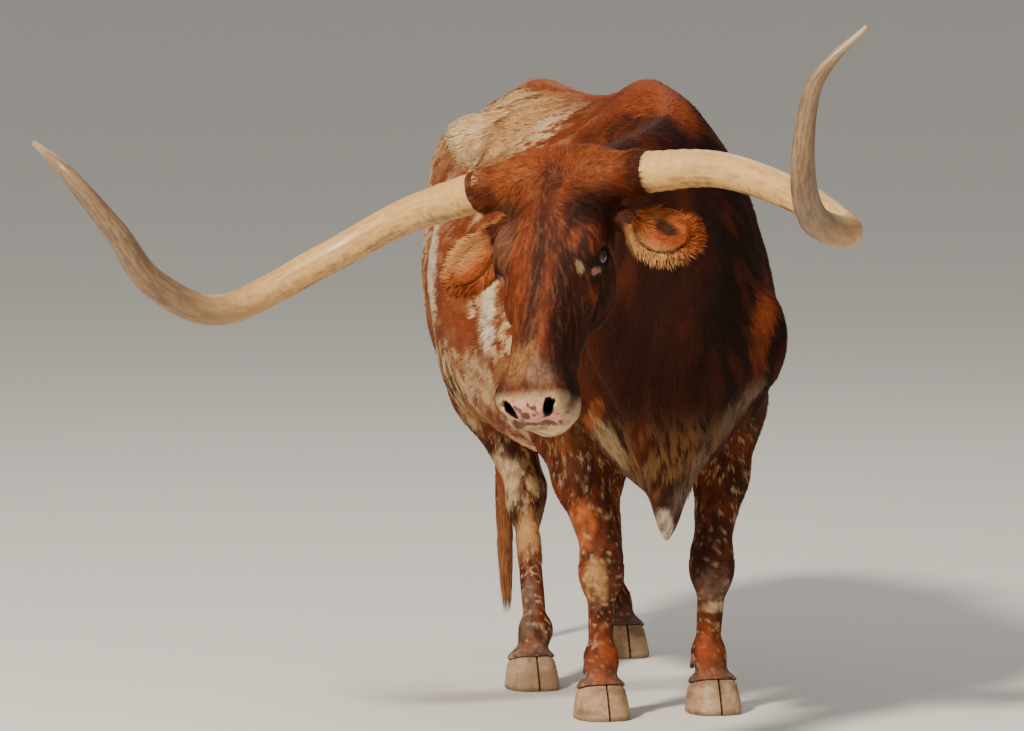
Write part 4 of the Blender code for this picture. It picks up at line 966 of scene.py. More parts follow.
def leg_share(points):
    """1 on the legs and 0 on the trunk, and the index of the nearest leg."""
    reach = np.stack([np.linalg.norm(leg_offset(points, name), axis=1) for name in LEG_LINES], 1)
    nearest = reach.argmin(1)
    hind = np.array([name.startswith("hind") for name in LEG_LINES])[nearest]
    top = np.where(hind, 0.86, 0.70)
    width = np.where(hind, 0.20, 0.14)
    share = 1.0 - ramp(points[:, 2], top - 0.12, top + 0.06)
    share *= 1.0 - ramp(reach.min(1), width, width + 0.06)
    return np.where(points[:, 2] < 0.42, 1.0 - ramp(reach.min(1), 0.12, 0.16), share), nearest


def nostril_reach(q):
    """How far each point is from the nearer nostril, where 1 is the nostril's edge."""
    reach = []
    for s in (1.0, -1.0):
        turn = math.radians(24.0) * s
        x, y, z = (q - on_side(NOSTRIL, s)).T
        across = x * math.cos(turn) - y * math.sin(turn)
        along = x * math.sin(turn) + y * math.cos(turn)
        reach.append(np.sqrt((across / 0.0155) ** 2 + (along / 0.030) ** 2 + (z / 0.036) ** 2))
    return np.minimum(*reach)


def pad_share(q):
    """1 on the bare nose pad, from places in the head's frame."""
    edge = 0.004 * np.sin(q[:, 0] * 90.0)
    share = ramp(q[:, 2], 0.592, 0.604) * ramp(q[:, 1] + edge, -0.128, -0.116)
    return share * (1.0 - ramp(q[:, 1], -0.036, -0.026)) * (1.0 - ramp(np.abs(q[:, 0]), 0.052, 0.064))


def coat_depth(points):
    """How far the skin lies inside the coat's outline."""
    head = 1.0 - ramp(behind_head(points), -0.04, 0.06)
    q = head_places(points)
    ear, _ = ear_share(points)
    leg, _ = leg_share(points)
    depth = np.full(len(points), 0.0060)
    depth += (0.0025 - depth) * head
    depth += 0.0045 * head * (1.0 - ramp(q[:, 2], 0.08, 0.20)) * (1.0 - ramp(np.abs(q[:, 0]), 0.16, 0.19))
    depth += (0.0018 - depth) * ear
    depth += (0.0030 - depth) * leg
    depth *= 1.0 - head * ramp(q[:, 2], 0.53, 0.59) * 0.8
    return depth


def relief(points):
    """Small folds and hollows of the skin, in metres."""
    trunk = ramp(behind_head(points), 0.0, 0.15)
    leg, _ = leg_share(points)
    folds = clouds(points, (16.0, 16.0, 5.0), 41) - 0.5
    lumps = clouds(points, 7.0, 42) - 0.5
    return trunk * (1.0 - 0.6 * leg) * (0.0070 * folds + 0.0060 * lumps)


# The scene's own masses: the ears on the head, folds of the brow, eye and nose, and the tail.


def fold(start, end, radius, blend=0.008):
    """A roll of skin on both sides of the face."""

    def side_fold(s):
        return [(cone(HEAD, on_side(start, s), on_side(end, s), radius, radius * 0.7), "join", blend)]

    return both_sides(side_fold)


def face_folds():
    folds = fold((0.098, -0.030, 0.205), (0.118, -0.038, 0.232), 0.0050)
    folds += fold((0.088, -0.020, 0.192), (0.112, -0.028, 0.214), 0.0055)
    folds += fold((0.104, -0.082, 0.262), (0.112, -0.098, 0.238), 0.0042)
    folds += fold((0.096, -0.060, 0.285), (0.088, -0.070, 0.330), 0.0052)
    folds += fold((0.066, -0.034, 0.590), (0.076, -0.062, 0.576), 0.0060)

    def openings(s):
        """The eye's opening, to the side and ahead."""
        aside = shifted(on_side(EYE, s), s * 0.030)
        ahead = (s * (EYE[0] + 0.024), EYE[1] + 0.009, EYE[2])
        return [
            (ellipsoid(HEAD, aside, (0.022, 0.0135, 0.0215)), "cut", 0.003),
            (ellipsoid(HEAD, ahead, (0.021, 0.0145, 0.0190)), "cut", 0.003),
        ]

    return folds + both_sides(openings)


def tail_masses():
    line = spline([list(p) + [r] for p, r in zip(TAIL_PATH, TAIL_RADII)], 22)
    return [
        (cone(WORLD, a[:3], b[:3], a[3] * 0.97, b[3] * 0.97), "join", 0.004 if i > 3 else 0.02)
        for i, (a, b) in enumerate(zip(line[:-1], line[1:]))
    ]


def shifted_ear(s):
    return [(shape, action, 0.016 if action == "join" else blend) for shape, action, blend in ear_masses(s)]


BODY = FLESH + tail_masses()
FACE = FLESH + face_folds() + both_sides(shifted_ear)


def skin_value(masses, spots=()):
    """The skin's signed distance as a function of points. It ends flat above each hoof in spots."""

    def value(points):
        field = evaluate(masses, points) + coat_depth(points)
        for spot in spots:
            point, normal = hoof_plane(spot)
            level = (points - point - SHIFT) @ normal / np.linalg.norm(normal)
            field = smooth_max(field, level + 0.0012, 0.006)
        return field

    return value


def linked(name, data):
    """A new object in the scene for a mesh, a light or a camera."""
    piece = bpy.data.objects.new(name, data)
    bpy.context.scene.collection.objects.link(piece)
    return piece


def skin_object(name, value, frame, low, high, step, keep):
    """A piece of skin from its field, with the faces that keep(points) leaves out removed."""
    points, quads = skin_mesh(value, frame, low, high, step)
    used = keep(points)[quads].any(1)
    quads = quads[used]
    number = np.zeros(len(points), int)
    kept = np.unique(quads)
    number[kept] = np.arange(len(kept))
    points = settle(value, points[kept])
    mesh = bpy.data.meshes.new(name)
    fill_mesh(mesh, points, number[quads])
    piece = linked(name, mesh)
    points += mesh_normals(mesh) * relief(points)[:, None]
    mesh.vertices.foreach_set("co", points.astype(np.float32).ravel())
    mesh.update()
    mesh.shade_smooth()
    return piece


def fill_mesh(mesh, points, faces):
    """Gives an empty mesh its points and faces, all faces with as many corners."""
    mesh.vertices.add(len(points))
    mesh.vertices.foreach_set("co", np.asarray(points, np.float32).ravel())
    mesh.loops.add(faces.size)
    mesh.loops.foreach_set("vertex_index", faces.astype(np.int32).ravel())
    mesh.polygons.add(len(faces))
    mesh.polygons.foreach_set("loop_start", (np.arange(len(faces)) * faces.shape[1]).astype(np.int32))
    mesh.update(calc_edges=True)
    mesh.validate()


def mesh_points(mesh):
    flat = np.empty(len(mesh.vertices) * 3, np.float32)
    mesh.vertices.foreach_get("co", flat)
    return flat.reshape(-1, 3).astype(float)


def mesh_normals(mesh):
    flat = np.empty(len(mesh.vertices) * 3, np.float32)
    mesh.vertex_normals.foreach_get("vector", flat)
    return flat.reshape(-1, 3).astype(float)


def colour_points(mesh, colours, name="coat"):
    """Stores a colour at each point of the mesh."""
    layer = mesh.attributes.new(name, "FLOAT_COLOR", "POINT")
    flat = np.ones((len(colours), 4), np.float32)
    flat[:, : colours.shape[1]] = colours
    layer.data.foreach_set("color", flat.ravel())


# Markings, and patches of painted shade on the left side, each placed at a pixel of the photo: u, v, half
# width, half height, turn, colour, amount.
PATCHES = {
    "loin": (520, 120, 75, 30, 24, TAN, 0.75),
    "hip": (470, 140, 40, 26, 30, CREAM, 0.55),
    "right flank": (445, 200, 22, 60, 0, CREAM, 0.55),
    "right flank edge": (432, 250, 9, 90, 0, WHITE, 0.75),
    "right ribs": (455, 330, 26, 60, 10, RUST, 0.9),
    "right shoulder streak": (489, 318, 9, 46, -4, WHITE, 0.85),
    "right ribs low": (478, 378, 18, 34, 20, CREAM, 0.6),
    "belly edge": (470, 412, 22, 18, 35, TAN, 0.55),
    "right stifle": (497, 470, 16, 22, 10, CREAM, 0.5),
    "withers ridge": (590, 93, 70, 7, 4, RUST, 0.9),
    "withers right": (627, 122, 26, 16, 30, BLACK, 0.75),
    "withers left": (668, 135, 24, 22, -50, BLACK, 0.7),
    "withers front": (655, 105, 45, 14, -12, RUST, 0.8),
    "left flank edge": (765, 300, 12, 90, -8, RUST, 0.6),
    # Painted shade: the left shoulder, partly its own dark brown, partly darkened because it lies in shade.
    "left shoulder shade": (705, 215, 20, 60, -25, DEEP, 0.7),
    "throat": (593, 412, 8, 26, -22, ORANGE, 0.95),
    "dewlap": (608, 440, 10, 34, 30, CREAM, 0.55),
    "brisket right": (628, 478, 14, 18, 20, GREY, 0.8),
    "brisket middle": (648, 508, 8, 40, 32, CREAM, 0.8),
    "brisket left": (690, 480, 10, 54, -30, GREY, 0.75),
    "left elbow": (738, 408, 12, 40, -38, GREY, 0.6),
    "brisket tip": (664, 528, 10, 18, 10, WHITE, 1.0),
    "right forearm top": (579, 470, 22, 30, 0, DEEP, 0.7),
    "right forearm": (580, 527, 17, 30, -14, ORANGE, 0.85),
    "right knee": (596, 585, 17, 26, 0, TAN, 0.65),
    "right cannon": (604, 660, 14, 40, 0, RUST, 0.8),
    "right fore foot": (612, 697, 26, 12, 0, CREAM, 0.6),
    "right thigh": (506, 485, 16, 30, -12, CREAM, 0.55),
    "right hock": (530, 530, 17, 28, -8, TAN, 0.75),
    "right hind cannon": (528, 610, 12, 40, 0, GREY, 0.5),
    "left knee": (712, 585, 20, 20, 0, GREY, 0.65),
    "left knee low": (712, 607, 14, 6, 0, CREAM, 0.55),
    "left cannon": (710, 650, 17, 34, 0, RUST, 0.8),
    "left fore foot": (712, 694, 24, 9, 0, TAN, 0.7),
    # Painted shade: the upper left fore leg, partly its own dark brown, partly darkened because it lies in
    # shade.
    "left forearm shade": (700, 545, 22, 40, 0, DEEP, 0.75),
}
# On the face: (left, out, down), radii in the same frame, colour, amount.
FACE_PATCHES = [
    ((0.0, 0.0, 0.02), (0.19, 0.12, 0.105), RUST, 0.9),
    ((0.11, 0.0, 0.02), (0.08, 0.10, 0.06), ORANGE, 0.5),
    ((-0.11, 0.0, 0.03), (0.08, 0.10, 0.06), ORANGE, 0.5),
    ((0.003, 0.0, 0.070), (0.024, 0.06, 0.050), BLACK, 0.8),
    ((-0.004, 0.0, 0.15), (0.014, 0.06, 0.07), DEEP, 0.6),
    ((-0.045, 0.0, 0.30), (0.030, 0.06, 0.22), RUST, 0.7),
    ((0.002, 0.0, 0.36), (0.018, 0.06, 0.16), DEEP, 0.8),
    ((0.018, 0.0, 0.40), (0.016, 0.05, 0.16), RUST, 0.5),
    ((0.055, -0.03, 0.37), (0.024, 0.07, 0.18), BLACK, 0.9),
    ((0.100, -0.12, 0.36), (0.040, 0.12, 0.20), BLACK, 0.8),
    ((0.080, -0.04, 0.150), (0.050, 0.07, 0.050), BLACK, 0.9),
    ((0.120, -0.06, 0.130), (0.050, 0.08, 0.050), BLACK, 0.9),
    ((0.072, -0.01, 0.225), (0.018, 0.05, 0.030), RUST, 0.6),
    ((0.083, -0.05, 0.282), (0.010, 0.03, 0.016), CREAM, 0.7),
    ((0.095, -0.09, 0.325), (0.018, 0.03, 0.035), RUST, 0.9),
    ((-0.100, -0.05, 0.20), (0.040, 0.07, 0.07), GREY, 0.5),
    ((-0.020, -0.02, 0.53), (0.050, 0.05, 0.060), TAN, 0.45),
    ((0.030, -0.02, 0.56), (0.040, 0.05, 0.040), GREY, 0.7),
    ((0.070, -0.06, 0.535), (0.040, 0.06, 0.040), BLACK, 0.9),
]


def streaks(points, flow, scale, seed, reach=0.03):
    """Noise drawn out along the lie of the coat."""
    total = 0.0
    for step in (-1.0, -0.5, 0.0, 0.5, 1.0):
        total = total + noise(points + flow * (step * reach), scale, seed)
    return ramp(total / 5.0, 0.30, 0.70)


def whorl():
    """The whorl on the forehead, from which the coat of the head runs out."""
    return head_point(0.004, 0.0, 0.060)


def coat_lie(points, normals):
    """Unit vectors along the lie of the coat, on the skin."""
    q = points - SHIFT
    behind = behind_head(points)
    head = 1.0 - ramp(behind, -0.01, 0.06)
    leg, _ = leg_share(points)
    ear, _ = ear_share(points)
    neck = (1.0 - ramp(q[:, 1], -0.62, -0.40)) * (1.0 - head)
    flow = np.zeros((len(points), 3))
    flow += (0.0, 1.0, -0.40)
    flow[:, 0] += 0.3 * np.tanh(q[:, 0] * 12.0) * ramp(q[:, 2], 1.25, 1.40)
    flow += neck[:, None] * np.array([0.35, -0.35, -0.55])
    flow += ((1.0 - ramp(q[:, 2], 0.80, 1.05)) * neck)[:, None] * np.array([0.0, -0.3, -0.9])
    flow += leg[:, None] * (np.array([0.0, 0.10, -1.0]) - flow)
    flow += ramp(q[:, 1], 1.0, 1.03)[:, None] * (np.array([0.0, 0.05, -1.0]) - flow)
    away = points - whorl()
    away /= np.linalg.norm(away, axis=1)[:, None] + 1e-6
    flow += head[:, None] * (away - flow)
    for origin, axes in EAR_FRAMES.values():
        e = (points - origin) @ axes.T
        mine = ear * (np.abs(e[:, 1]) < 0.06) * (np.abs(e[:, 2]) < 0.09) * (e[:, 0] < 0.26)
        spread = axes[0] * 0.8 + np.outer(e[:, 2] / 0.05, axes[2])
        spread = spread + np.outer(0.5 * ramp(e[:, 1], -0.01, 0.01), axes[1])
        flow += mine[:, None] * (spread - flow)
    turn = (clouds(points, 9.0, 61) - 0.5) * 1.5 * (1.0 - 0.5 * head)
    centre = np.linalg.norm(points - whorl(), axis=1)
    turn += np.exp(-((centre / 0.11) ** 2)) * (0.9 + 3.0 * (clouds(points, 34.0, 62) - 0.5))
    flow -= normals * (flow * normals).sum(1)[:, None]
    flow /= np.linalg.norm(flow, axis=1)[:, None] + 1e-6
    side = np.cross(normals, flow)
    return flow * np.cos(turn)[:, None] + side * np.sin(turn)[:, None]


def trunk_colour(points, flow):
    """The trunk, neck and legs: deep red, dark brindle and painted shade on the left and on the neck, roan
    and gold on the right.
    """
    q = points - SHIFT
    colour = paint(np.tile(MAHOGANY, (len(points), 1)), RUST, 0.7 * ramp(clouds(points, 4.0, 11), 0.45, 0.70))
    brindle = streaks(points, flow, 30.0, 12, 0.05) * ramp(clouds(points, (5.0, 5.0, 3.0), 13), 0.35, 0.65)
    colour = paint(colour, DEEP, 0.85 * brindle)
    # Black mottling on the left side only: partly brindle, partly painted shade on the side away from the key
    # light.
    mottle = ramp(clouds(points, (8.0, 8.0, 2.0), 28), 0.45, 0.62)
    colour = paint(colour, BLACK, 0.5 * ramp(q[:, 0], -0.02, 0.10) * mottle)
    # A darker neck: partly its own dark brown, partly painted shade. shade adds black streaks of painted
    # shade on the neck's left side.
    neck = 1.0 - ramp(q[:, 1], -0.66, -0.36)
    colour = paint(colour, DEEP, neck * (0.45 + 0.45 * ramp(clouds(points, (9.0, 9.0, 2.5), 14), 0.35, 0.65)))
    shade = neck * ramp(q[:, 0], -0.06, 0.04)
    colour = paint(colour, BLACK, 0.85 * shade * ramp(streaks(points, flow, 40.0, 29, 0.05), 0.05, 0.65))
    right = ramp(-q[:, 0], 0.02, 0.16) * ramp(q[:, 1], -0.42, -0.25)
    leg, _ = leg_share(points)
    roan = ramp(clouds(points, 7.0, 15), 0.44, 0.62)
    speckle = ramp(streaks(points, flow, 90.0, 16, 0.012) + 0.5 * roan, 0.55, 0.95)
    colour = paint(colour, RUST, 0.55 * right * (1.0 - leg))
    gold = ramp(streaks(points, flow, 45.0, 30, 0.03), 0.4, 0.9)
    colour = paint(colour, TAN, 0.35 * right * (1.0 - leg) * gold)
    colour = paint(colour, CREAM, 0.85 * right * roan * speckle)
    low = (1.0 - ramp(q[:, 2], 0.62, 0.78)) * (1.0 - leg) * ramp(clouds(points, 6.0, 17), 0.42, 0.60)
    colour = paint(colour, TAN, 0.45 * low * speckle)
    back = ramp(q[:, 2], 1.22, 1.36) * ramp(q[:, 1], -0.02, 0.18) * (1.0 - ramp(q[:, 0], 0.02, 0.16))
    lines = streaks(points, flow, 55.0, 18, 0.06)
    colour = paint(colour, TAN, 0.9 * back)
    colour = paint(colour, CREAM, 0.7 * back * ramp(lines, 0.5, 0.9))
    colour = paint(colour, DEEP, 0.75 * back * (1.0 - ramp(lines, 0.12, 0.38)))
    spine = (1.0 - ramp(np.abs(q[:, 0]), 0.02, 0.06)) * ramp(q[:, 2], 1.36, 1.42)
    colour = paint(colour, RUST, 0.8 * spine)
    colour = paint(colour, RUST, 0.25 * leg * ramp(clouds(points, 12.0, 19), 0.4, 0.6))
    colour = paint(colour, DEEP, 0.80 * leg * ramp(streaks(points, flow, 70.0, 31, 0.02), 0.35, 0.75))
    fleck = ramp(clouds(points, 95.0, 20), 0.60, 0.70)
    colour = paint(colour, CREAM, 0.45 * leg * fleck)
    foot = 1.0 - ramp(q[:, 2], 0.085, 0.150)
    return paint(colour, GREY, 0.45 * foot)


def face_colour(points, flow):
    """The head: orange poll, dark whorl, streaked nose and sides, painted shade on the left side and in the
    nostrils, pale muzzle and pink pad.
    """
    q = head_places(points)
    fine = streaks(points, flow, 210.0, 21, 0.010)
    speck = 0.45 + 0.55 * ramp(noise(q, 320.0, 32), 0.35, 0.65)
    dark = ramp(clouds(q, (22.0, 22.0, 8.0), 22), 0.35, 0.62)
    colour = paint(np.tile(MAHOGANY, (len(points), 1)), DEEP, 0.8 * dark)
    # Painted shade on the face's left side, broken by the coat's fine streaks.
    left_cheek_shade = 0.7 * ramp(q[:, 0], 0.02, 0.09) * ramp(q[:, 2], 0.12, 0.22)
    colour = paint(colour, BLACK, left_cheek_shade * ramp(fine, 0.1, 0.7))
    ragged = 0.7 * (clouds(q, (60.0, 60.0, 20.0), 23) - 0.5)
    for centre, radii, other, amount in FACE_PATCHES:
        reach = np.sqrt((((q - centre) / radii) ** 2).sum(1)) + ragged
        colour = paint(colour, other, amount * speck * (1.0 - ramp(reach, 0.45, 1.25)))
    colour = paint(colour, DEEP, 0.38 * ramp(fine, 0.50, 0.95) * (1.0 - ramp(q[:, 2], 0.52, 0.6)))
    shaded = 1.0 - 0.6 * ramp(q[:, 0], 0.02, 0.08)
    colour = paint(colour, TAN, 0.12 * (1.0 - ramp(fine, 0.05, 0.40)) * shaded)
    rim = ramp(q[:, 2] - 0.35 * q[:, 1], 0.600, 0.640)
    colour = paint(colour, CREAM, 0.9 * rim)
    smudge = ramp(clouds(q, 38.0, 24), 0.50, 0.62)
    colour = paint(colour, GREY, 0.5 * rim * smudge)
    cheek = np.linalg.norm((np.abs(q) - (0.078, 0.088, 0.590)) / (0.016, 0.034, 0.040), axis=1)
    colour = paint(colour, BLACK * 1.6, 0.75 * (1.0 - ramp(cheek + 0.5 * (smudge - 0.5), 0.6, 1.2)))
    pad = pad_share(q)
    colour = paint(colour, PINK, pad)
    freckle = ramp(clouds(q, 55.0, 25) + 0.30 * ramp(-q[:, 1], 0.075, 0.115), 0.56, 0.68)
    colour = paint(colour, BLACK * 1.5, 0.8 * pad * freckle)
    for s in (1.0, -1.0):
        eye = np.linalg.norm((q - on_side(EYE, s)) / (1.0, 1.0, 1.2), axis=1)
        colour = paint(colour, BLACK, 0.9 * (1.0 - ramp(eye, 0.030, 0.042)))
        corner = np.linalg.norm(q - on_side((0.112, -0.062, 0.281), s), axis=1)
        colour = paint(colour, PINK * 0.8, 0.7 * (1.0 - ramp(corner, 0.007, 0.015)))
    # The nostrils painted near black: painted shade in their openings.
    return paint(colour, BLACK * 0.4, 1.0 - ramp(nostril_reach(q), 0.90, 1.05))


# The ear's hollow, darkened with painted shade, in the ear's frame.
EAR_HOLLOW, EAR_HOLLOW_RADII = (0.072, -0.012, -0.020), (0.045, 0.03, 0.015)


def ear_colour(place):
    """Tan and orange ears, with painted shade in the hollow."""
    colour = paint(np.tile(RUST, (len(place), 1)), ORANGE, ramp(clouds(place, 40.0, 26), 0.4, 0.6))
    colour = paint(colour, TAN, 0.8 * ramp(place[:, 2], 0.005, 0.045))
    inside = ramp(place[:, 1], -0.012, 0.0) * (1.0 - ramp(np.abs(place[:, 2]), 0.026, 0.044))
    inside *= ramp(place[:, 0], 0.02, 0.05) * (1.0 - ramp(place[:, 0], 0.11, 0.15))
    colour = paint(colour, TAN, 0.75 * inside)
    # Painted shade deep in the ear's cup.
    hollow = np.linalg.norm((place - EAR_HOLLOW) / EAR_HOLLOW_RADII, axis=1)
    return paint(colour, BLACK * 1.6, 0.9 * (1.0 - ramp(hollow, 0.6, 1.1)))


PATCH_PLACES = on_skin([patch[:2] for patch in PATCHES.values()])


def coat_colour(points, flow):
    """The animal's colour at points of the skin or at the roots of its hair."""
    colour = trunk_colour(points, flow)
    grain = streaks(points, flow, 80.0, 27, 0.012)
    for i, (_, _, across, tall, turn, other, amount) in enumerate(PATCHES.values()):
        place, across, tall = PATCH_PLACES[i], across * PIXEL, tall * PIXEL
        near = np.linalg.norm(points - place, axis=1) < 1.5 * max(across, tall, PATCH_DEPTH)
        share = blob(points[near], place, across, tall, turn, PATCH_DEPTH, PATCH_ROUGH, 70 + i)
        share *= np.clip(0.35 + 1.1 * grain[near], 0.0, 1.0)
        colour[near] = paint(colour[near], other, amount * share)
    head = 1.0 - ramp(behind_head(points), -0.02, 0.05)
    near = head > 0
    colour[near] = paint_rows(colour[near], face_colour(points[near], flow[near]), head[near])
    ear, place = ear_share(points)
    near = ear > 0
    colour[near] = paint_rows(colour[near], ear_colour(place[near]), ear[near])
    return colour


def paint_rows(colour, other, amount):
    """Lays one row of colours over another, by an amount for each row."""
    return colour + (other - colour) * amount[:, None]


# The coat: tufts as small closed forms, joined in pieces. Each tuft has its own patch of the map.
PATCH_SIZE = 0.003
ROOT_SINK = 0.0006
COAT_SHARE = 1.0


def coat_plan(points):
    """The coat's density, length, width and rise at the tip, at each point."""
    q = points - SHIFT
    h = head_places(points)
    head = 1.0 - ramp(behind_head(points), -0.02, 0.05)
    leg, _ = leg_share(points)
    ear, place = ear_share(points)
    back = ramp(q[:, 2], 1.22, 1.36) * ramp(q[:, 1], -0.02, 0.18) * (1.0 - ramp(q[:, 0], 0.02, 0.16))
    plan = np.tile([36000.0, 0.024, 0.0042, 0.0034], (len(points), 1))

    def blend(share, density, length, width, rise):
        plan[:] = plan + share[:, None] * (np.array([density, length, width, rise]) - plan)

    blend(back, 28000.0, 0.044, 0.0050, 0.0050)
    low = (1.0 - ramp(q[:, 2], 0.55, 0.75)) * (1.0 - ramp(q[:, 1], -0.5, -0.3)) * (1.0 - leg)
    blend(low, 38000.0, 0.030, 0.0040, 0.0055)
    blend(leg, 56000.0, 0.015, 0.0029, 0.0024)
    knee = np.exp(-(((q[:, 2] - 0.355) / 0.05) ** 2)) * leg * (q[:, 1] < -0.2)
    blend(knee, 52000.0, 0.020, 0.0032, 0.0040)
    blend(1.0 - ramp(q[:, 2], 0.10, 0.14), 70000.0, 0.013, 0.0024, 0.0026)
    blend(head, 105000.0, 0.0115, 0.0021, 0.0017)
    poll = head * (1.0 - ramp(h[:, 2], 0.10, 0.19))
    blend(poll, 95000.0, 0.0165, 0.0020, 0.0050)
    blend(head * ramp(h[:, 2], 0.44, 0.54), 120000.0, 0.0070, 0.0017, 0.0010)
    blend(ear, 120000.0, 0.018, 0.0021, 0.0040)
    rim = ear * ramp(np.abs(place[:, 2]), 0.035, 0.055)
    blend(rim, 160000.0, 0.018, 0.0017, 0.0075)
    blend(ear * ramp(place[:, 1], -0.014, 0.0), 130000.0, 0.024, 0.0017, 0.0105)
    bare = pad_share(h) + ramp(h[:, 2] - 0.35 * h[:, 1], 0.632, 0.66)
    plan[:, 0] *= 1.0 - np.clip(bare, 0.0, 1.0)
    for s in (1.0, -1.0):
        plan[:, 0] *= ramp(np.linalg.norm(h - shifted(on_side(EYE, s), s * 0.004), axis=1), 0.026, 0.034)
        at_horn = (h[:, 2] < 0.11) * (head > 0.9)
        plan[:, 0] *= 1.0 - ramp(s * (h[:, 0] - s * HORN_ROOT_OUT[s]), 0.0, 0.004) * at_horn
    plan[:, 0] *= ramp(nostril_reach(h), 1.0, 1.15)
    return plan


def scatter(piece, draw):
    """Places and normals of the roots over a skin piece, by the coat's density."""
    mesh = piece.data
    points, normals = mesh_points(mesh), mesh_normals(mesh)
    corners = np.empty(len(mesh.loops), np.int32)
    mesh.loops.foreach_get("vertex_index", corners)
    quads = corners.reshape(-1, 4)
    faces = np.vstack([quads[:, [0, 1, 2]], quads[:, [0, 2, 3]]])
    a, b, c = (points[faces[:, i]] for i in range(3))
    area = np.linalg.norm(np.cross(b - a, c - a), axis=1) / 2.0
    density = coat_plan(points)[:, 0][faces].mean(1) * COAT_SHARE
    count = draw.poisson(area * density)
    pick = np.repeat(np.arange(len(faces)), count)
    u, v = draw.random((2, len(pick)))
    over = u + v > 1.0
    u[over], v[over] = 1.0 - u[over], 1.0 - v[over]
    w = 1.0 - u - v
    place = a[pick] * w[:, None] + b[pick] * u[:, None] + c[pick] * v[:, None]
    n = sum(normals[faces[pick, i]] * share[:, None] for i, share in enumerate((w, u, v)))
    return place, n / np.linalg.norm(n, axis=1)[:, None]


def strands_object(name, rings, ring_normals, colours, uv):
    """Tapered strands in one mesh, from rings of three points and a tip, each on its own patch of the map."""
    points = np.stack(rings, 1)
    count, last = len(points), len(rings) - 1
    stations = last // 3
    faces = [(2, 1, 0)]
    for low in range(0, last - 3, 3):
        for i in range(3):
            j = (i + 1) % 3
            faces += [(low + i, low + j, low + 3 + i), (low + j, low + 3 + j, low + 3 + i)]
    faces += [(last - 3, last - 2, last), (last - 2, last - 1, last), (last - 1, last - 3, last)]
    every = (np.arange(count) * (last + 1))[:, None, None] + np.array(faces)[None]
    mesh = bpy.data.meshes.new(name)
    fill_mesh(mesh, points.reshape(-1, 3), every.reshape(-1, 3))
    colour_points(mesh, colours.reshape(-1, 3))
    across = [-0.5, 0.5, 0.0] * stations + [0.0]
    along = [k / stations - 0.5 for k in range(stations) for _ in range(3)] + [0.5]
    spots = uv[:, None, :] + PATCH_SIZE * np.stack([across, along], 1)
    layer = mesh.uv_layers.new(name="OFBake")
    layer.data.foreach_set("uv", spots.reshape(-1, 2)[every.ravel()].astype(np.float32).ravel())
    flat = np.stack(ring_normals, 1)
    flat /= np.linalg.norm(flat, axis=2)[:, :, None]
    mesh.normals_split_custom_set_from_vertices(flat.reshape(-1, 3).astype(np.float32))
    return linked(name, mesh)


def tuft_object(name, roots, normals, flow, plan, colours, uv, draw, stations=1):
    """Tapered tufts in one mesh. Each has a sunk root, bends off the skin, and ends in a point."""
    count = len(roots)
    _, length, width, rise = plan.T
    length = length * draw.uniform(0.7, 1.25, count)
    rise = rise * draw.uniform(0.5, 1.3, count)
    side = np.cross(normals, flow)
    # shades paint each tuft darker towards its root and lighter at its tip: painted shade at the root and a
    # painted highlight at the tip.
    rings, ring_normals, shades = [], [], []
    for k in range(stations):
        t = k / stations
        lift = rise * t**0.8 - ROOT_SINK * (k == 0)
        middle = roots + flow * (length * t)[:, None] + normals * lift[:, None]
        wide = (width / 2.0 * (1.0 - 0.35 * t))[:, None]
        thick = (width * (0.22 if k else 0.30))[:, None]
        rings += [middle - side * wide, middle + side * wide, middle + normals * thick]
        ring_normals += [normals - 0.45 * side, normals + 0.45 * side, normals]
        shades += [0.80 + 0.2 * t] * 3
    rings.append(roots + flow * length[:, None] + normals * rise[:, None])
    ring_normals.append(normals + 0.25 * flow)
    shades.append(1.12)
    tint = 1.0 + 0.26 * (draw.random((count, 1)) - 0.5) + 0.06 * (draw.random((count, 3)) - 0.5)
    shaded = (colours * tint)[:, None, :] * np.array(shades)[None, :, None]
    return strands_object(name, rings, ring_normals, shaded, uv)


def unwrap(points, normals, label):
    """A place on an unwrap of the skin's own shape: round the part's middle line, and along it."""
    q = points - SHIFT
    if label.startswith("head"):
        h = head_places(points)
        x, y, along = h[:, 0], h[:, 1] + 0.10, (h[:, 2] + 0.12) / 0.85
    elif label.startswith("ear"):
        origin, axes = EAR_FRAMES[label[4:]]
        e = (points - origin) @ axes.T
        inner = (normals @ axes[1]) > 0
        return np.stack([0.25 + 0.5 * inner + e[:, 2] * 2.0, 0.1 + e[:, 0] * 3.0], 1)
    elif label.startswith(("fore", "hind")):
        x, y = leg_offset(points, label).T
        along = q[:, 2] / 1.05
    elif label == "tail":
        x, y, along = q[:, 0] - 0.012, q[:, 1] - 1.06, q[:, 2] / 1.4
    else:
        x, y, along = q[:, 0], q[:, 2] - 1.0, (q[:, 1] + 1.3) / 2.5
    return np.stack([0.02 + 0.96 * (np.arctan2(x, y) / (2 * math.pi) + 0.5), 0.02 + 0.96 * along], 1)


def coat_labels(points):
    """The coat piece that each root belongs to."""
    q = points - SHIFT
    labels = np.where(q[:, 0] > 0, "trunk_left_", "trunk_right_").astype("U24")
    labels = np.char.add(labels, np.select([q[:, 1] < 0.10, q[:, 1] < 0.48], ["front", "middle"], "back"))
    labels[q[:, 1] < -0.62] = "neck"
    leg, nearest = leg_share(points)
    names = np.array(list(LEG_LINES))
    labels = np.where(leg > 0.5, names[nearest], labels)
    labels[q[:, 1] > 1.005] = "tail"
    h = head_places(points)
    side = np.where(h[:, 0] > 0, "left", "right")
    labels = np.where(behind_head(points) < 0.012, np.char.add("head_", side), labels)
    ear, _ = ear_share(points)
    return np.where(ear > 0.4, np.char.add("ear_", side), labels)


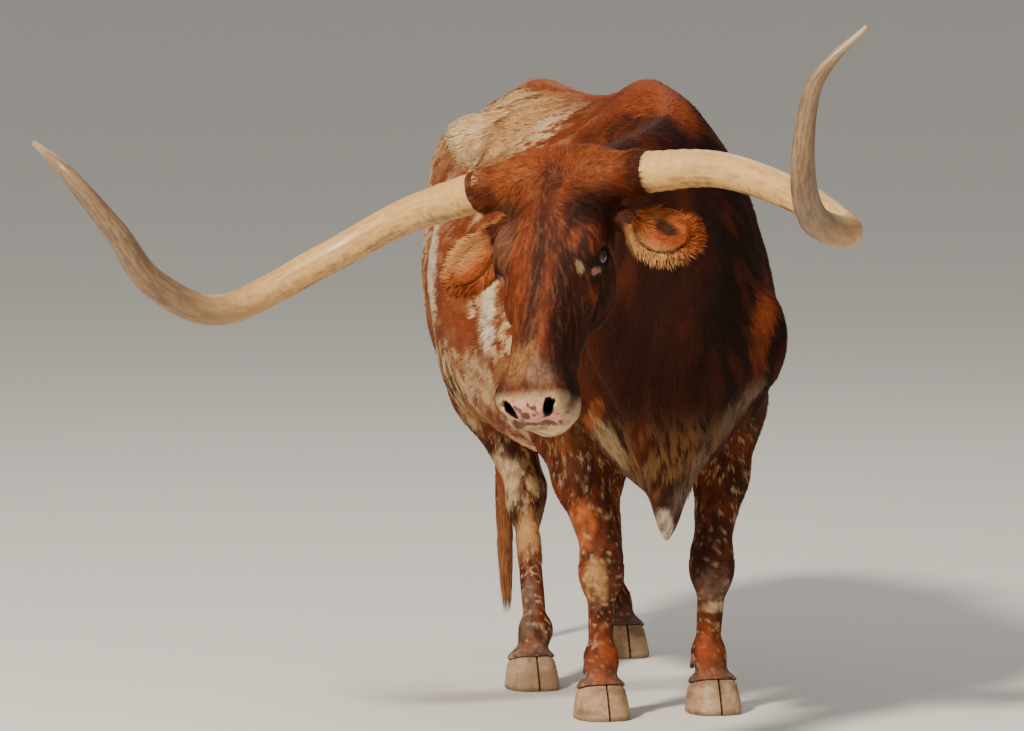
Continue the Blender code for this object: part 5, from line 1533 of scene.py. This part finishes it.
def grow_coat(skins, draw):
    """Tufts over every skin piece, in one object for each part of the body."""
    found = [scatter(piece, draw) for piece in skins]
    roots = np.vstack([f[0] for f in found])
    normals = np.vstack([f[1] for f in found])
    order = draw.permutation(len(roots))
    roots, normals = roots[order], normals[order]
    flow = coat_lie(roots, normals)
    colours = coat_colour(roots, flow)
    plan = coat_plan(roots)
    labels = coat_labels(roots)
    pieces = []
    for label in np.unique(labels):
        mine = labels == label
        loose = 0.16 + 0.34 * np.exp(-((np.linalg.norm(roots[mine] - whorl(), axis=1) / 0.12) ** 2))
        spread = (draw.normal(0.0, 1.0, mine.sum()) * loose)[:, None]
        lean = flow[mine] + np.cross(normals[mine], flow[mine]) * spread
        stations = 2 if label.startswith(("ear", "tail")) else 1
        pieces.append(
            tuft_object(
                "coat_" + label, roots[mine], normals[mine], lean, plan[mine], colours[mine],
                unwrap(roots[mine], normals[mine], label), draw, stations,
            )
        )
    return pieces


# Long hair of the switch.


def switch_hair(draw, count=900):
    """Long locks round the end of the tail that wave and close to fine tips."""
    top, end = np.array(TAIL_PATH[-1]), np.array(SWITCH_END)
    stations = 7
    start = 0.9 * draw.random(count) ** 1.3 * 0.62 - 0.03
    stop = np.minimum(1.0, start + draw.uniform(0.28, 0.60, count))
    turn = draw.uniform(0.0, 2 * math.pi, count)
    wave = draw.uniform(-1.0, 1.0, (count, 2))
    inner = draw.uniform(0.35, 1.0, count)
    rings, normal_rings, shades = [], [], []
    for k in range(stations + 1):
        t = k / stations
        share = start + (stop - start) * t
        body = 0.009 + 0.014 * np.sin(math.pi * np.clip(0.10 + 0.80 * share, 0, 1)) ** 0.8
        reach = body * inner * (0.25 + 0.75 * min(1.0, 2.2 * t)) * (1.0 - 0.25 * t**3)
        angle = turn + wave[:, 0] * 0.9 * t + 0.25 * np.sin(6.0 * t + wave[:, 1] * 3.0)
        out = np.stack([np.cos(angle), np.sin(angle), np.zeros(count)], 1)
        middle = SHIFT + top + np.outer(share, end - top) + out * reach[:, None]
        side = np.cross(out, (0.0, 0.0, -1.0))
        wide = 0.0030 * (1.0 - t) ** 0.6
        if k < stations:
            rings += [middle - side * wide, middle + side * wide, middle + out * wide * 0.5]
            normal_rings += [out - 0.5 * side, out + 0.5 * side, out]
            shades += [0.7 + 0.5 * t] * 3
        else:
            rings.append(middle)
            normal_rings.append(out)
            shades.append(1.3)
    tip = ramp((stop - 0.5) / 0.5, 0.2, 0.9)
    pale = 0.10 + 0.30 * tip * draw.random(count)
    colours = paint_rows(np.tile(MAHOGANY, (count, 1)), TAN * 0.7, pale)[:, None, :]
    # Painted shade at the roots of the locks and painted light at their tips, the lit parts also drawn
    # towards tan.
    steps = np.array(shades)[None, :, None]
    shaded_locks = colours * steps + (TAN * 0.6 - colours) * 0.45 * ramp(steps, 0.8, 1.3)
    uv = np.stack([turn / (2 * math.pi) * 0.9 + 0.05, 0.05 + 0.9 * start], 1)
    return strands_object("tail_switch_hair", rings, normal_rings, shaded_locks, uv)


# Horns, hooves and eyes.
# Rings and sides of a horn, and where along it the dark part begins and is full.
HORN_DETAIL = (260, 40)
HORN_DARK = {"left": (0.42, 0.60), "right": (0.34, 0.62)}


def horn_piece(name):
    """A horn with growth rings at its base, fine lengthwise ridges, and its own colours."""
    rings, sides = HORN_DETAIL
    points, radii = horn_line(name, rings)
    s = SIDES[name]
    ahead = np.gradient(points, axis=0)
    ahead /= np.linalg.norm(ahead, axis=1)[:, None]
    side = np.cross(ahead[0], (0.0, 0.0, 1.0))
    sections = []
    for i in range(rings):
        side = side - ahead[i] * (side @ ahead[i])
        side /= np.linalg.norm(side)
        other = np.cross(ahead[i], side)
        angles = np.arange(sides) * 2 * math.pi / sides
        sections.append(np.outer(np.cos(angles), side) + np.outer(np.sin(angles), other))
    sections = np.array(sections)
    run = np.linspace(0.0, 1.0, rings)
    around = np.arange(sides) / sides
    grid = np.stack(np.meshgrid(run * 20.0, around, indexing="ij"), -1).reshape(-1, 2)
    turnable = np.stack([grid[:, 0], np.cos(grid[:, 1] * 2 * math.pi), np.sin(grid[:, 1] * 2 * math.pi)], 1)
    ridges = (clouds(turnable * (0.12, 1.0, 1.0), 7.0, 81).reshape(rings, sides) - 0.5) * 0.0012
    growth = 0.0007 * np.sin(run * 330.0 + 2.0 * np.sin(run * 40.0)) * (1.0 - ramp(run, 0.05, 0.22))
    lumps = (clouds(turnable * (0.5, 0.4, 0.4), 1.0, 82).reshape(rings, sides) - 0.5) * 0.0010
    thin = np.minimum(1.0, radii / 0.02)[:, None]
    wide = (radii * 0.985)[:, None] + (ridges + lumps + growth[:, None] - 0.0008) * thin
    verts = points[:, None, :] + sections * wide[:, :, None]
    root, normal = head_point(*horn_root(s)), HEAD[1].T @ np.array([s, 0.0, 0.0])
    verts[0] += np.outer(((root - 0.004 * normal - verts[0]) @ normal) / (ahead[0] @ normal), ahead[0])
    verts = np.vstack([verts.reshape(-1, 3), points[-1:]])
    faces = []
    for i in range(rings - 1):
        for j in range(sides):
            k = (j + 1) % sides
            faces.append((i * sides + j, i * sides + k, (i + 1) * sides + k, (i + 1) * sides + j))
    end = (rings - 1) * sides
    faces += [(end + j, end + (j + 1) % sides, len(verts) - 1) for j in range(sides)]
    faces.append(tuple(range(sides))[::-1])
    mesh = bpy.data.meshes.new("horn_shell_" + name)
    mesh.from_pydata(verts.tolist(), [], faces)
    mesh.update()
    mesh.shade_smooth()
    run_all = np.r_[np.repeat(run, sides), 1.0]
    up = np.r_[sections.reshape(-1, 3)[:, 2], 0.0]
    q = np.vstack([turnable, turnable[-1:]])
    colour = np.tile(rgb(196, 152, 88), (len(verts), 1))
    lines = clouds(q * (0.16, 1.0, 1.0), 11.0, 83)
    cross = clouds(q * (3.0, 0.6, 0.6), 4.0, 84)
    colour = paint(colour, rgb(162, 118, 66), 0.75 * ramp(lines, 0.45, 0.70) * ramp(run_all, 0.02, 0.2))
    under = ramp(-up, -0.1, 0.7) * (1.0 - ramp(run_all, 0.35, 0.5))
    colour = paint(colour, rgb(120, 88, 52), 0.75 * under * ramp(0.6 * lines + 0.4 * cross, 0.44, 0.60))
    colour = paint(colour, rgb(120, 96, 72), 0.85 * ramp(run_all, *HORN_DARK[name]))
    dusk = ramp(run_all, 0.45, 0.7)
    colour = paint(colour, rgb(70, 52, 40), 0.55 * dusk * ramp(lines, 0.40, 0.62))
    colour = paint(colour, rgb(176, 150, 112), 0.65 * ramp(run_all, 0.90, 0.99))
    colour = paint(colour, rgb(190, 140, 92), 0.5 * (1.0 - ramp(run_all, 0.012, 0.03)))
    colour_points(mesh, colour)
    return linked("horn_shell_" + name, mesh)


def claw_piece(label, spot, s):
    """One claw with a rounded wall, a rolled top edge under the hair, and faint rings."""
    count, levels = 40, 16
    plane_point, plane_normal = hoof_plane(spot)
    verts = []
    for level in range(levels):
        t = level / (levels - 1)
        width = np.interp(t, [0, 0.06, 0.5, 0.9, 1.0], [0.0625, 0.0660, 0.0622, 0.0568, 0.0520])
        share = np.interp(t, [0, 0.06, 0.5, 0.9, 1.0], [0.965, 0.995, 0.895, 0.80, 0.74])
        back = 0.014 * t**1.2
        for k in range(count):
            angle = 2 * math.pi * k / count
            x, y = math.sin(angle), -math.cos(angle)
            inner = x < 0
            out = 0.0028 + (width - 0.0028) * (x**0.62 if not inner else 0.0)
            length = TOE if y < 0 else HEEL
            py = spot[1] + back + math.copysign(abs(y) ** (1.0 if not inner else 0.9), y) * length * share
            top = plane_point[2] - (plane_normal[1] * (plane_point[1] - py)) / -plane_normal[2] - 0.0008
            ring = 0.0005 * math.sin(level * 2.4 + 1.5 * math.sin(angle * 2.0)) * (0.1 < t < 0.9)
            verts.append((spot[0] + s * (out + ring), py, max(0.0, top * t)))
    faces = [tuple(range(count)), tuple((levels - 1) * count + k for k in range(count))]
    for level in range(levels - 1):
        for k in range(count):
            j, low = (k + 1) % count, level * count
            faces.append((low + k, low + j, low + count + j, low + count + k))
    mesh = bpy.data.meshes.new(label)
    mesh.from_pydata((np.array(verts) + SHIFT).tolist(), [], faces)
    shape = bmesh.new()
    shape.from_mesh(mesh)
    bmesh.ops.remove_doubles(shape, verts=shape.verts[:], dist=0.0002)
    bmesh.ops.recalc_face_normals(shape, faces=shape.faces[:])
    shape.to_mesh(mesh)
    shape.free()
    mesh.shade_smooth()
    mesh.set_sharp_from_angle(angle=math.radians(48))
    p = mesh_points(mesh)
    colour = np.tile(rgb(158, 124, 90), (len(p), 1))
    colour = paint(colour, rgb(104, 76, 54), 0.7 * ramp(clouds(p, (20.0, 20.0, 60.0), 91), 0.45, 0.7))
    colour = paint(colour, rgb(196, 164, 126), 0.5 * ramp(clouds(p, (60.0, 60.0, 12.0), 92), 0.5, 0.7))
    colour = paint(colour, rgb(84, 64, 50), 0.6 * (1.0 - ramp(p[:, 2], 0.0, 0.012)))
    colour_points(mesh, colour)
    return linked(label, mesh)


def eye_piece(name):
    """A dark eye with a long level pupil, a brown iris and a moist pink corner."""
    s = SIDES[name]
    shape = bmesh.new()
    bmesh.ops.create_uvsphere(shape, u_segments=64, v_segments=48, radius=EYE_RADIUS * 0.985)
    mesh = bpy.data.meshes.new("eyeball_" + name)
    shape.to_mesh(mesh)
    shape.free()
    look = np.array([s * 0.88, 0.46, 0.08])
    look /= np.linalg.norm(look)
    p = mesh_points(mesh)
    aim = p / np.linalg.norm(p, axis=1)[:, None]
    toward = aim @ look
    bulge = 0.0012 * ramp(toward, 0.86, 0.95)
    p = p + aim * bulge[:, None]
    down = np.array([0.0, -0.2, 0.98]) - look * (look @ np.array([0.0, -0.2, 0.98]))
    down /= np.linalg.norm(down)
    level = np.cross(look, down)
    x, y = aim @ down, aim @ level
    disc = np.sqrt(x**2 + y**2) + 10.0 * (toward < 0)
    colour = np.tile(rgb(70, 50, 42), (len(p), 1))
    colour = paint(colour, rgb(42, 23, 14), 1.0 - ramp(disc, 0.54, 0.60))
    pupil = np.sqrt((x / 0.40) ** 2 + (y / 0.22) ** 2) + 10.0 * (toward < 0)
    colour = paint(colour, rgb(10, 8, 8), 1.0 - ramp(pupil, 0.9, 1.05))
    corner = np.linalg.norm(aim - (look * 0.66 + down * 0.75), axis=1)
    colour = paint(colour, rgb(190, 120, 108), 0.8 * (1.0 - ramp(corner, 0.15, 0.30)))
    colour_points(mesh, colour)
    mesh.vertices.foreach_set("co", (head_point(*on_side(EYE, s)) + p @ HEAD[1]).astype(np.float32).ravel())
    mesh.update()
    mesh.shade_smooth()
    return linked("eyeball_" + name, mesh)


# Materials.
MATERIALS = {
    "hide": dict(roughness=0.76, specular=0.14, scale=60.0, change=0.22, bump=0.35, distance=0.004),
    "fur": dict(roughness=0.66, specular=0.10, scale=35.0, change=0.10),
    "horn": dict(roughness=0.46, specular=0.4, scale=90.0, change=0.10, bump=0.10, distance=0.001, coat=0.08),
    "hoof": dict(roughness=0.62, specular=0.35, scale=120.0, change=0.16, bump=0.30, distance=0.002),
    "eye": dict(roughness=0.10, specular=0.3, scale=300.0, change=0.12, coat=0.2),
}


def new_material(name, roughness, specular, coat=0.0):
    """A material, with its tree and its shader, on which the constants are set."""
    material = bpy.data.materials.new(name)
    material.use_nodes = True
    tree = material.node_tree
    shader = tree.nodes["Principled BSDF"]
    shader.inputs["Roughness"].default_value = roughness
    shader.inputs["Specular IOR Level"].default_value = specular
    shader.inputs["Coat Weight"].default_value = coat
    shader.inputs["Coat Roughness"].default_value = 0.12
    return material, tree, shader


def painted_material(name, roughness, specular, scale, change, bump=0.0, distance=0.0, coat=0.0):
    """The stored colours, varied by fine noise that also roughens and raises the surface."""
    material, tree, shader = new_material(name, roughness, specular, coat)
    nodes, links = tree.nodes, tree.links
    stored = nodes.new("ShaderNodeAttribute")
    stored.attribute_name = "coat"
    place = nodes.new("ShaderNodeTexCoord")
    grain = nodes.new("ShaderNodeTexNoise")
    grain.inputs["Scale"].default_value = scale
    grain.inputs["Detail"].default_value = 5.0
    links.new(place.outputs["Object"], grain.inputs["Vector"])
    spread = nodes.new("ShaderNodeMapRange")
    spread.inputs["From Min"].default_value = 0.3
    spread.inputs["From Max"].default_value = 0.7
    spread.inputs["To Min"].default_value = 1.0 - change
    spread.inputs["To Max"].default_value = 1.0 + change
    links.new(grain.outputs["Fac"], spread.inputs["Value"])
    mix = nodes.new("ShaderNodeVectorMath")
    mix.operation = "SCALE"
    links.new(stored.outputs["Color"], mix.inputs[0])
    links.new(spread.outputs["Result"], mix.inputs["Scale"])
    links.new(mix.outputs["Vector"], shader.inputs["Base Color"])
    rough = nodes.new("ShaderNodeMapRange")
    rough.inputs["To Min"].default_value = max(0.02, roughness - 0.08)
    rough.inputs["To Max"].default_value = min(1.0, roughness + 0.08)
    links.new(grain.outputs["Fac"], rough.inputs["Value"])
    links.new(rough.outputs["Result"], shader.inputs["Roughness"])
    if bump:
        raised = nodes.new("ShaderNodeBump")
        raised.inputs["Strength"].default_value = bump
        raised.inputs["Distance"].default_value = distance
        links.new(grain.outputs["Fac"], raised.inputs["Height"])
        links.new(raised.outputs["Normal"], shader.inputs["Normal"])
    return material


def dress(piece, material, slot, *nodes):
    """Gives a piece its material and body, and hides the CAD nodes that it stands for. The slot is not used.
    """
    piece.data.materials.clear()
    piece.data.materials.append(material)
    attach(piece, "root")
    if nodes:
        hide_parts(*nodes)


SKIN_SHADE = 0.82


def paint_skin(piece):
    """Stores the coat's colours on the skin, a little darker than the hair."""
    points, normals = mesh_points(piece.data), mesh_normals(piece.data)
    flow = coat_lie(points, normals)
    colour_points(piece.data, coat_colour(points, flow) * SKIN_SHADE)


# The pieces, the floor, the lights and the camera.
BODY_STEP = 0.009
LEG_STEP = 0.005
HEAD_STEP = 0.0030
LEG_CUT = 0.36
TAIL_START = 1.0
TUCK = 0.0018
WORLD_LIGHT = 0.40
FLOOR_RADIUS = 500.0
FLOOR_DROP = 0.0005
# The studio lights: place, size in metres, power in watts, colour. All of them aim at one target.
LIGHT_TARGET = (0.0, -0.1, 0.9)
LIGHTS = {
    "key": ((-6.5, -6.5, 8.4), 1.4, 2500.0, (1.0, 0.95, 0.87)),
    "fill": ((7.0, -9.0, 4.0), 9.0, 110.0, (0.98, 0.98, 1.0)),
    "rim": ((3.0, 6.0, 8.0), 4.0, 160.0, (1.0, 1.0, 1.0)),
}


def make_skins():
    """The skin's pieces. Each slips under the next where they meet."""

    def at_tail(points):
        return points[:, 1] - SHIFT[1] > TAIL_START

    def on_body(points):
        return (behind_head(points) > 0.02) & ((points[:, 2] > LEG_CUT - 0.03) | at_tail(points))

    body_value = skin_value(BODY)

    def tucked(points):
        head_end = 1.0 - ramp(behind_head(points), 0.04, 0.08)
        leg_end = 1.0 - ramp(points[:, 2], LEG_CUT, LEG_CUT + 0.03)
        return body_value(points) + TUCK * np.maximum(head_end, leg_end) * ~at_tail(points)

    body = skin_object(
        "skin_body", tucked, WORLD, (-0.50, -1.26, 0.30), (0.48, 1.12, 1.56), BODY_STEP, on_body
    )
    head = skin_object(
        "skin_head", skin_value(FACE), HEAD, (-0.40, -0.385, -0.10), (0.42, 0.07, 0.68), HEAD_STEP,
        lambda points: behind_head(points) < 0.06,
    )
    skins = [body, head]
    for label, line in LEG_LINES.items():
        spot = HOOF_SPOTS[label]
        low = line[:, :2].min(0) - SHIFT[:2] - 0.11
        high = line[:, :2].max(0) - SHIFT[:2] + 0.11
        skins.append(
            skin_object(
                "skin_" + label, skin_value(FLESH, [spot]), WORLD,
                (low[0], low[1], 0.03), (high[0], high[1], LEG_CUT + 0.05), LEG_STEP,
                lambda points, label=label: (points[:, 2] < LEG_CUT)
                & (np.linalg.norm(leg_offset(points, label), axis=1) < 0.10),
            )
        )
    return skins


def area_light(name, place, size, power, colour):
    """A round lamp that aims at the target."""
    data = bpy.data.lights.new(name, "AREA")
    data.shape = "DISK"
    data.size = size
    data.energy = power
    data.color = colour
    light = linked(name, data)
    light.location = place
    light.rotation_euler = (Vector(LIGHT_TARGET) - Vector(place)).to_track_quat("-Z", "Y").to_euler()


def make_stage():
    """A wide pale floor, the studio lights and the camera."""
    scene = bpy.context.scene
    shape = bmesh.new()
    bmesh.ops.create_circle(shape, cap_ends=True, segments=96, radius=FLOOR_RADIUS)
    mesh = bpy.data.meshes.new("floor")
    shape.to_mesh(mesh)
    shape.free()
    floor = linked("floor", mesh)
    floor.location = (0.0, 0.0, -FLOOR_DROP)
    material, tree, shader = new_material("floor", 0.8, 0.2)
    shader.inputs["Base Color"].default_value = (*rgb(226, 218, 206), 1.0)
    mesh.materials.append(material)
    floor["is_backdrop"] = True
    world = bpy.data.worlds.new("studio")
    world.use_nodes = True
    nodes, links = world.node_tree.nodes, world.node_tree.links
    place, split = nodes.new("ShaderNodeTexCoord"), nodes.new("ShaderNodeSeparateXYZ")
    rise = nodes.new("ShaderNodeMapRange")
    rise.inputs["From Max"].default_value = 0.4
    rise.inputs["To Min"].default_value = WORLD_LIGHT * 0.74
    rise.inputs["To Max"].default_value = WORLD_LIGHT
    links.new(place.outputs["Generated"], split.inputs[0])
    links.new(split.outputs["Z"], rise.inputs["Value"])
    links.new(rise.outputs["Result"], nodes["Background"].inputs["Strength"])
    nodes["Background"].inputs["Color"].default_value = (0.98, 0.99, 1.0, 1.0)
    scene.world = world
    for name, values in LIGHTS.items():
        area_light(name, *values)
    data = bpy.data.cameras.new("camera")
    data.sensor_width = 36.0
    data.lens = FOCAL / IMAGE[0] * data.sensor_width
    data.clip_end = 200.0
    camera = linked("camera", data)
    camera.matrix_world = Matrix.Translation(CAMERA) @ Matrix(VIEW.tolist()).transposed().to_4x4()
    scene.camera = camera


def main():
    draw = np.random.default_rng(11)
    make_stage()
    skins = make_skins()
    hide, fur, horn, hoof, glass = (painted_material(name, **values) for name, values in MATERIALS.items())
    for piece in skins:
        paint_skin(piece)
    uppers = [k + "_leg_upper_" + s for k in ("fore", "hind") for s in SIDES]
    dress(skins[0], hide, "hide", "torso", "neck", "tail", *uppers)
    dress(skins[1], hide, "hide", "head", "ear_left", "ear_right")
    for piece, label in zip(skins[2:], LEG_LINES):
        dress(piece, hide, "hide", label.replace("_", "_leg_lower_"))
    for piece in grow_coat(skins, draw):
        dress(piece, fur, "hide")
    dress(switch_hair(draw), fur, "switch_hair", "tail_switch")
    for name, s in SIDES.items():
        dress(horn_piece(name), horn, "horn", "horn_" + name)
        dress(eye_piece(name), glass, "eye", "eye_" + name)
        for kind in ("fore", "hind"):
            spot = HOOF_SPOTS[kind + "_" + name]
            for claw, side in (("outer", s), ("inner", -s)):
                node = kind + "_hoof_" + name + "_" + claw
                dress(claw_piece("claw_" + kind + "_" + name + "_" + claw, spot, side), hoof, "hoof", node)


main()

new_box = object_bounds()
repr([[float(v) for v in corner] for box in (cad_box, new_box) for corner in box])
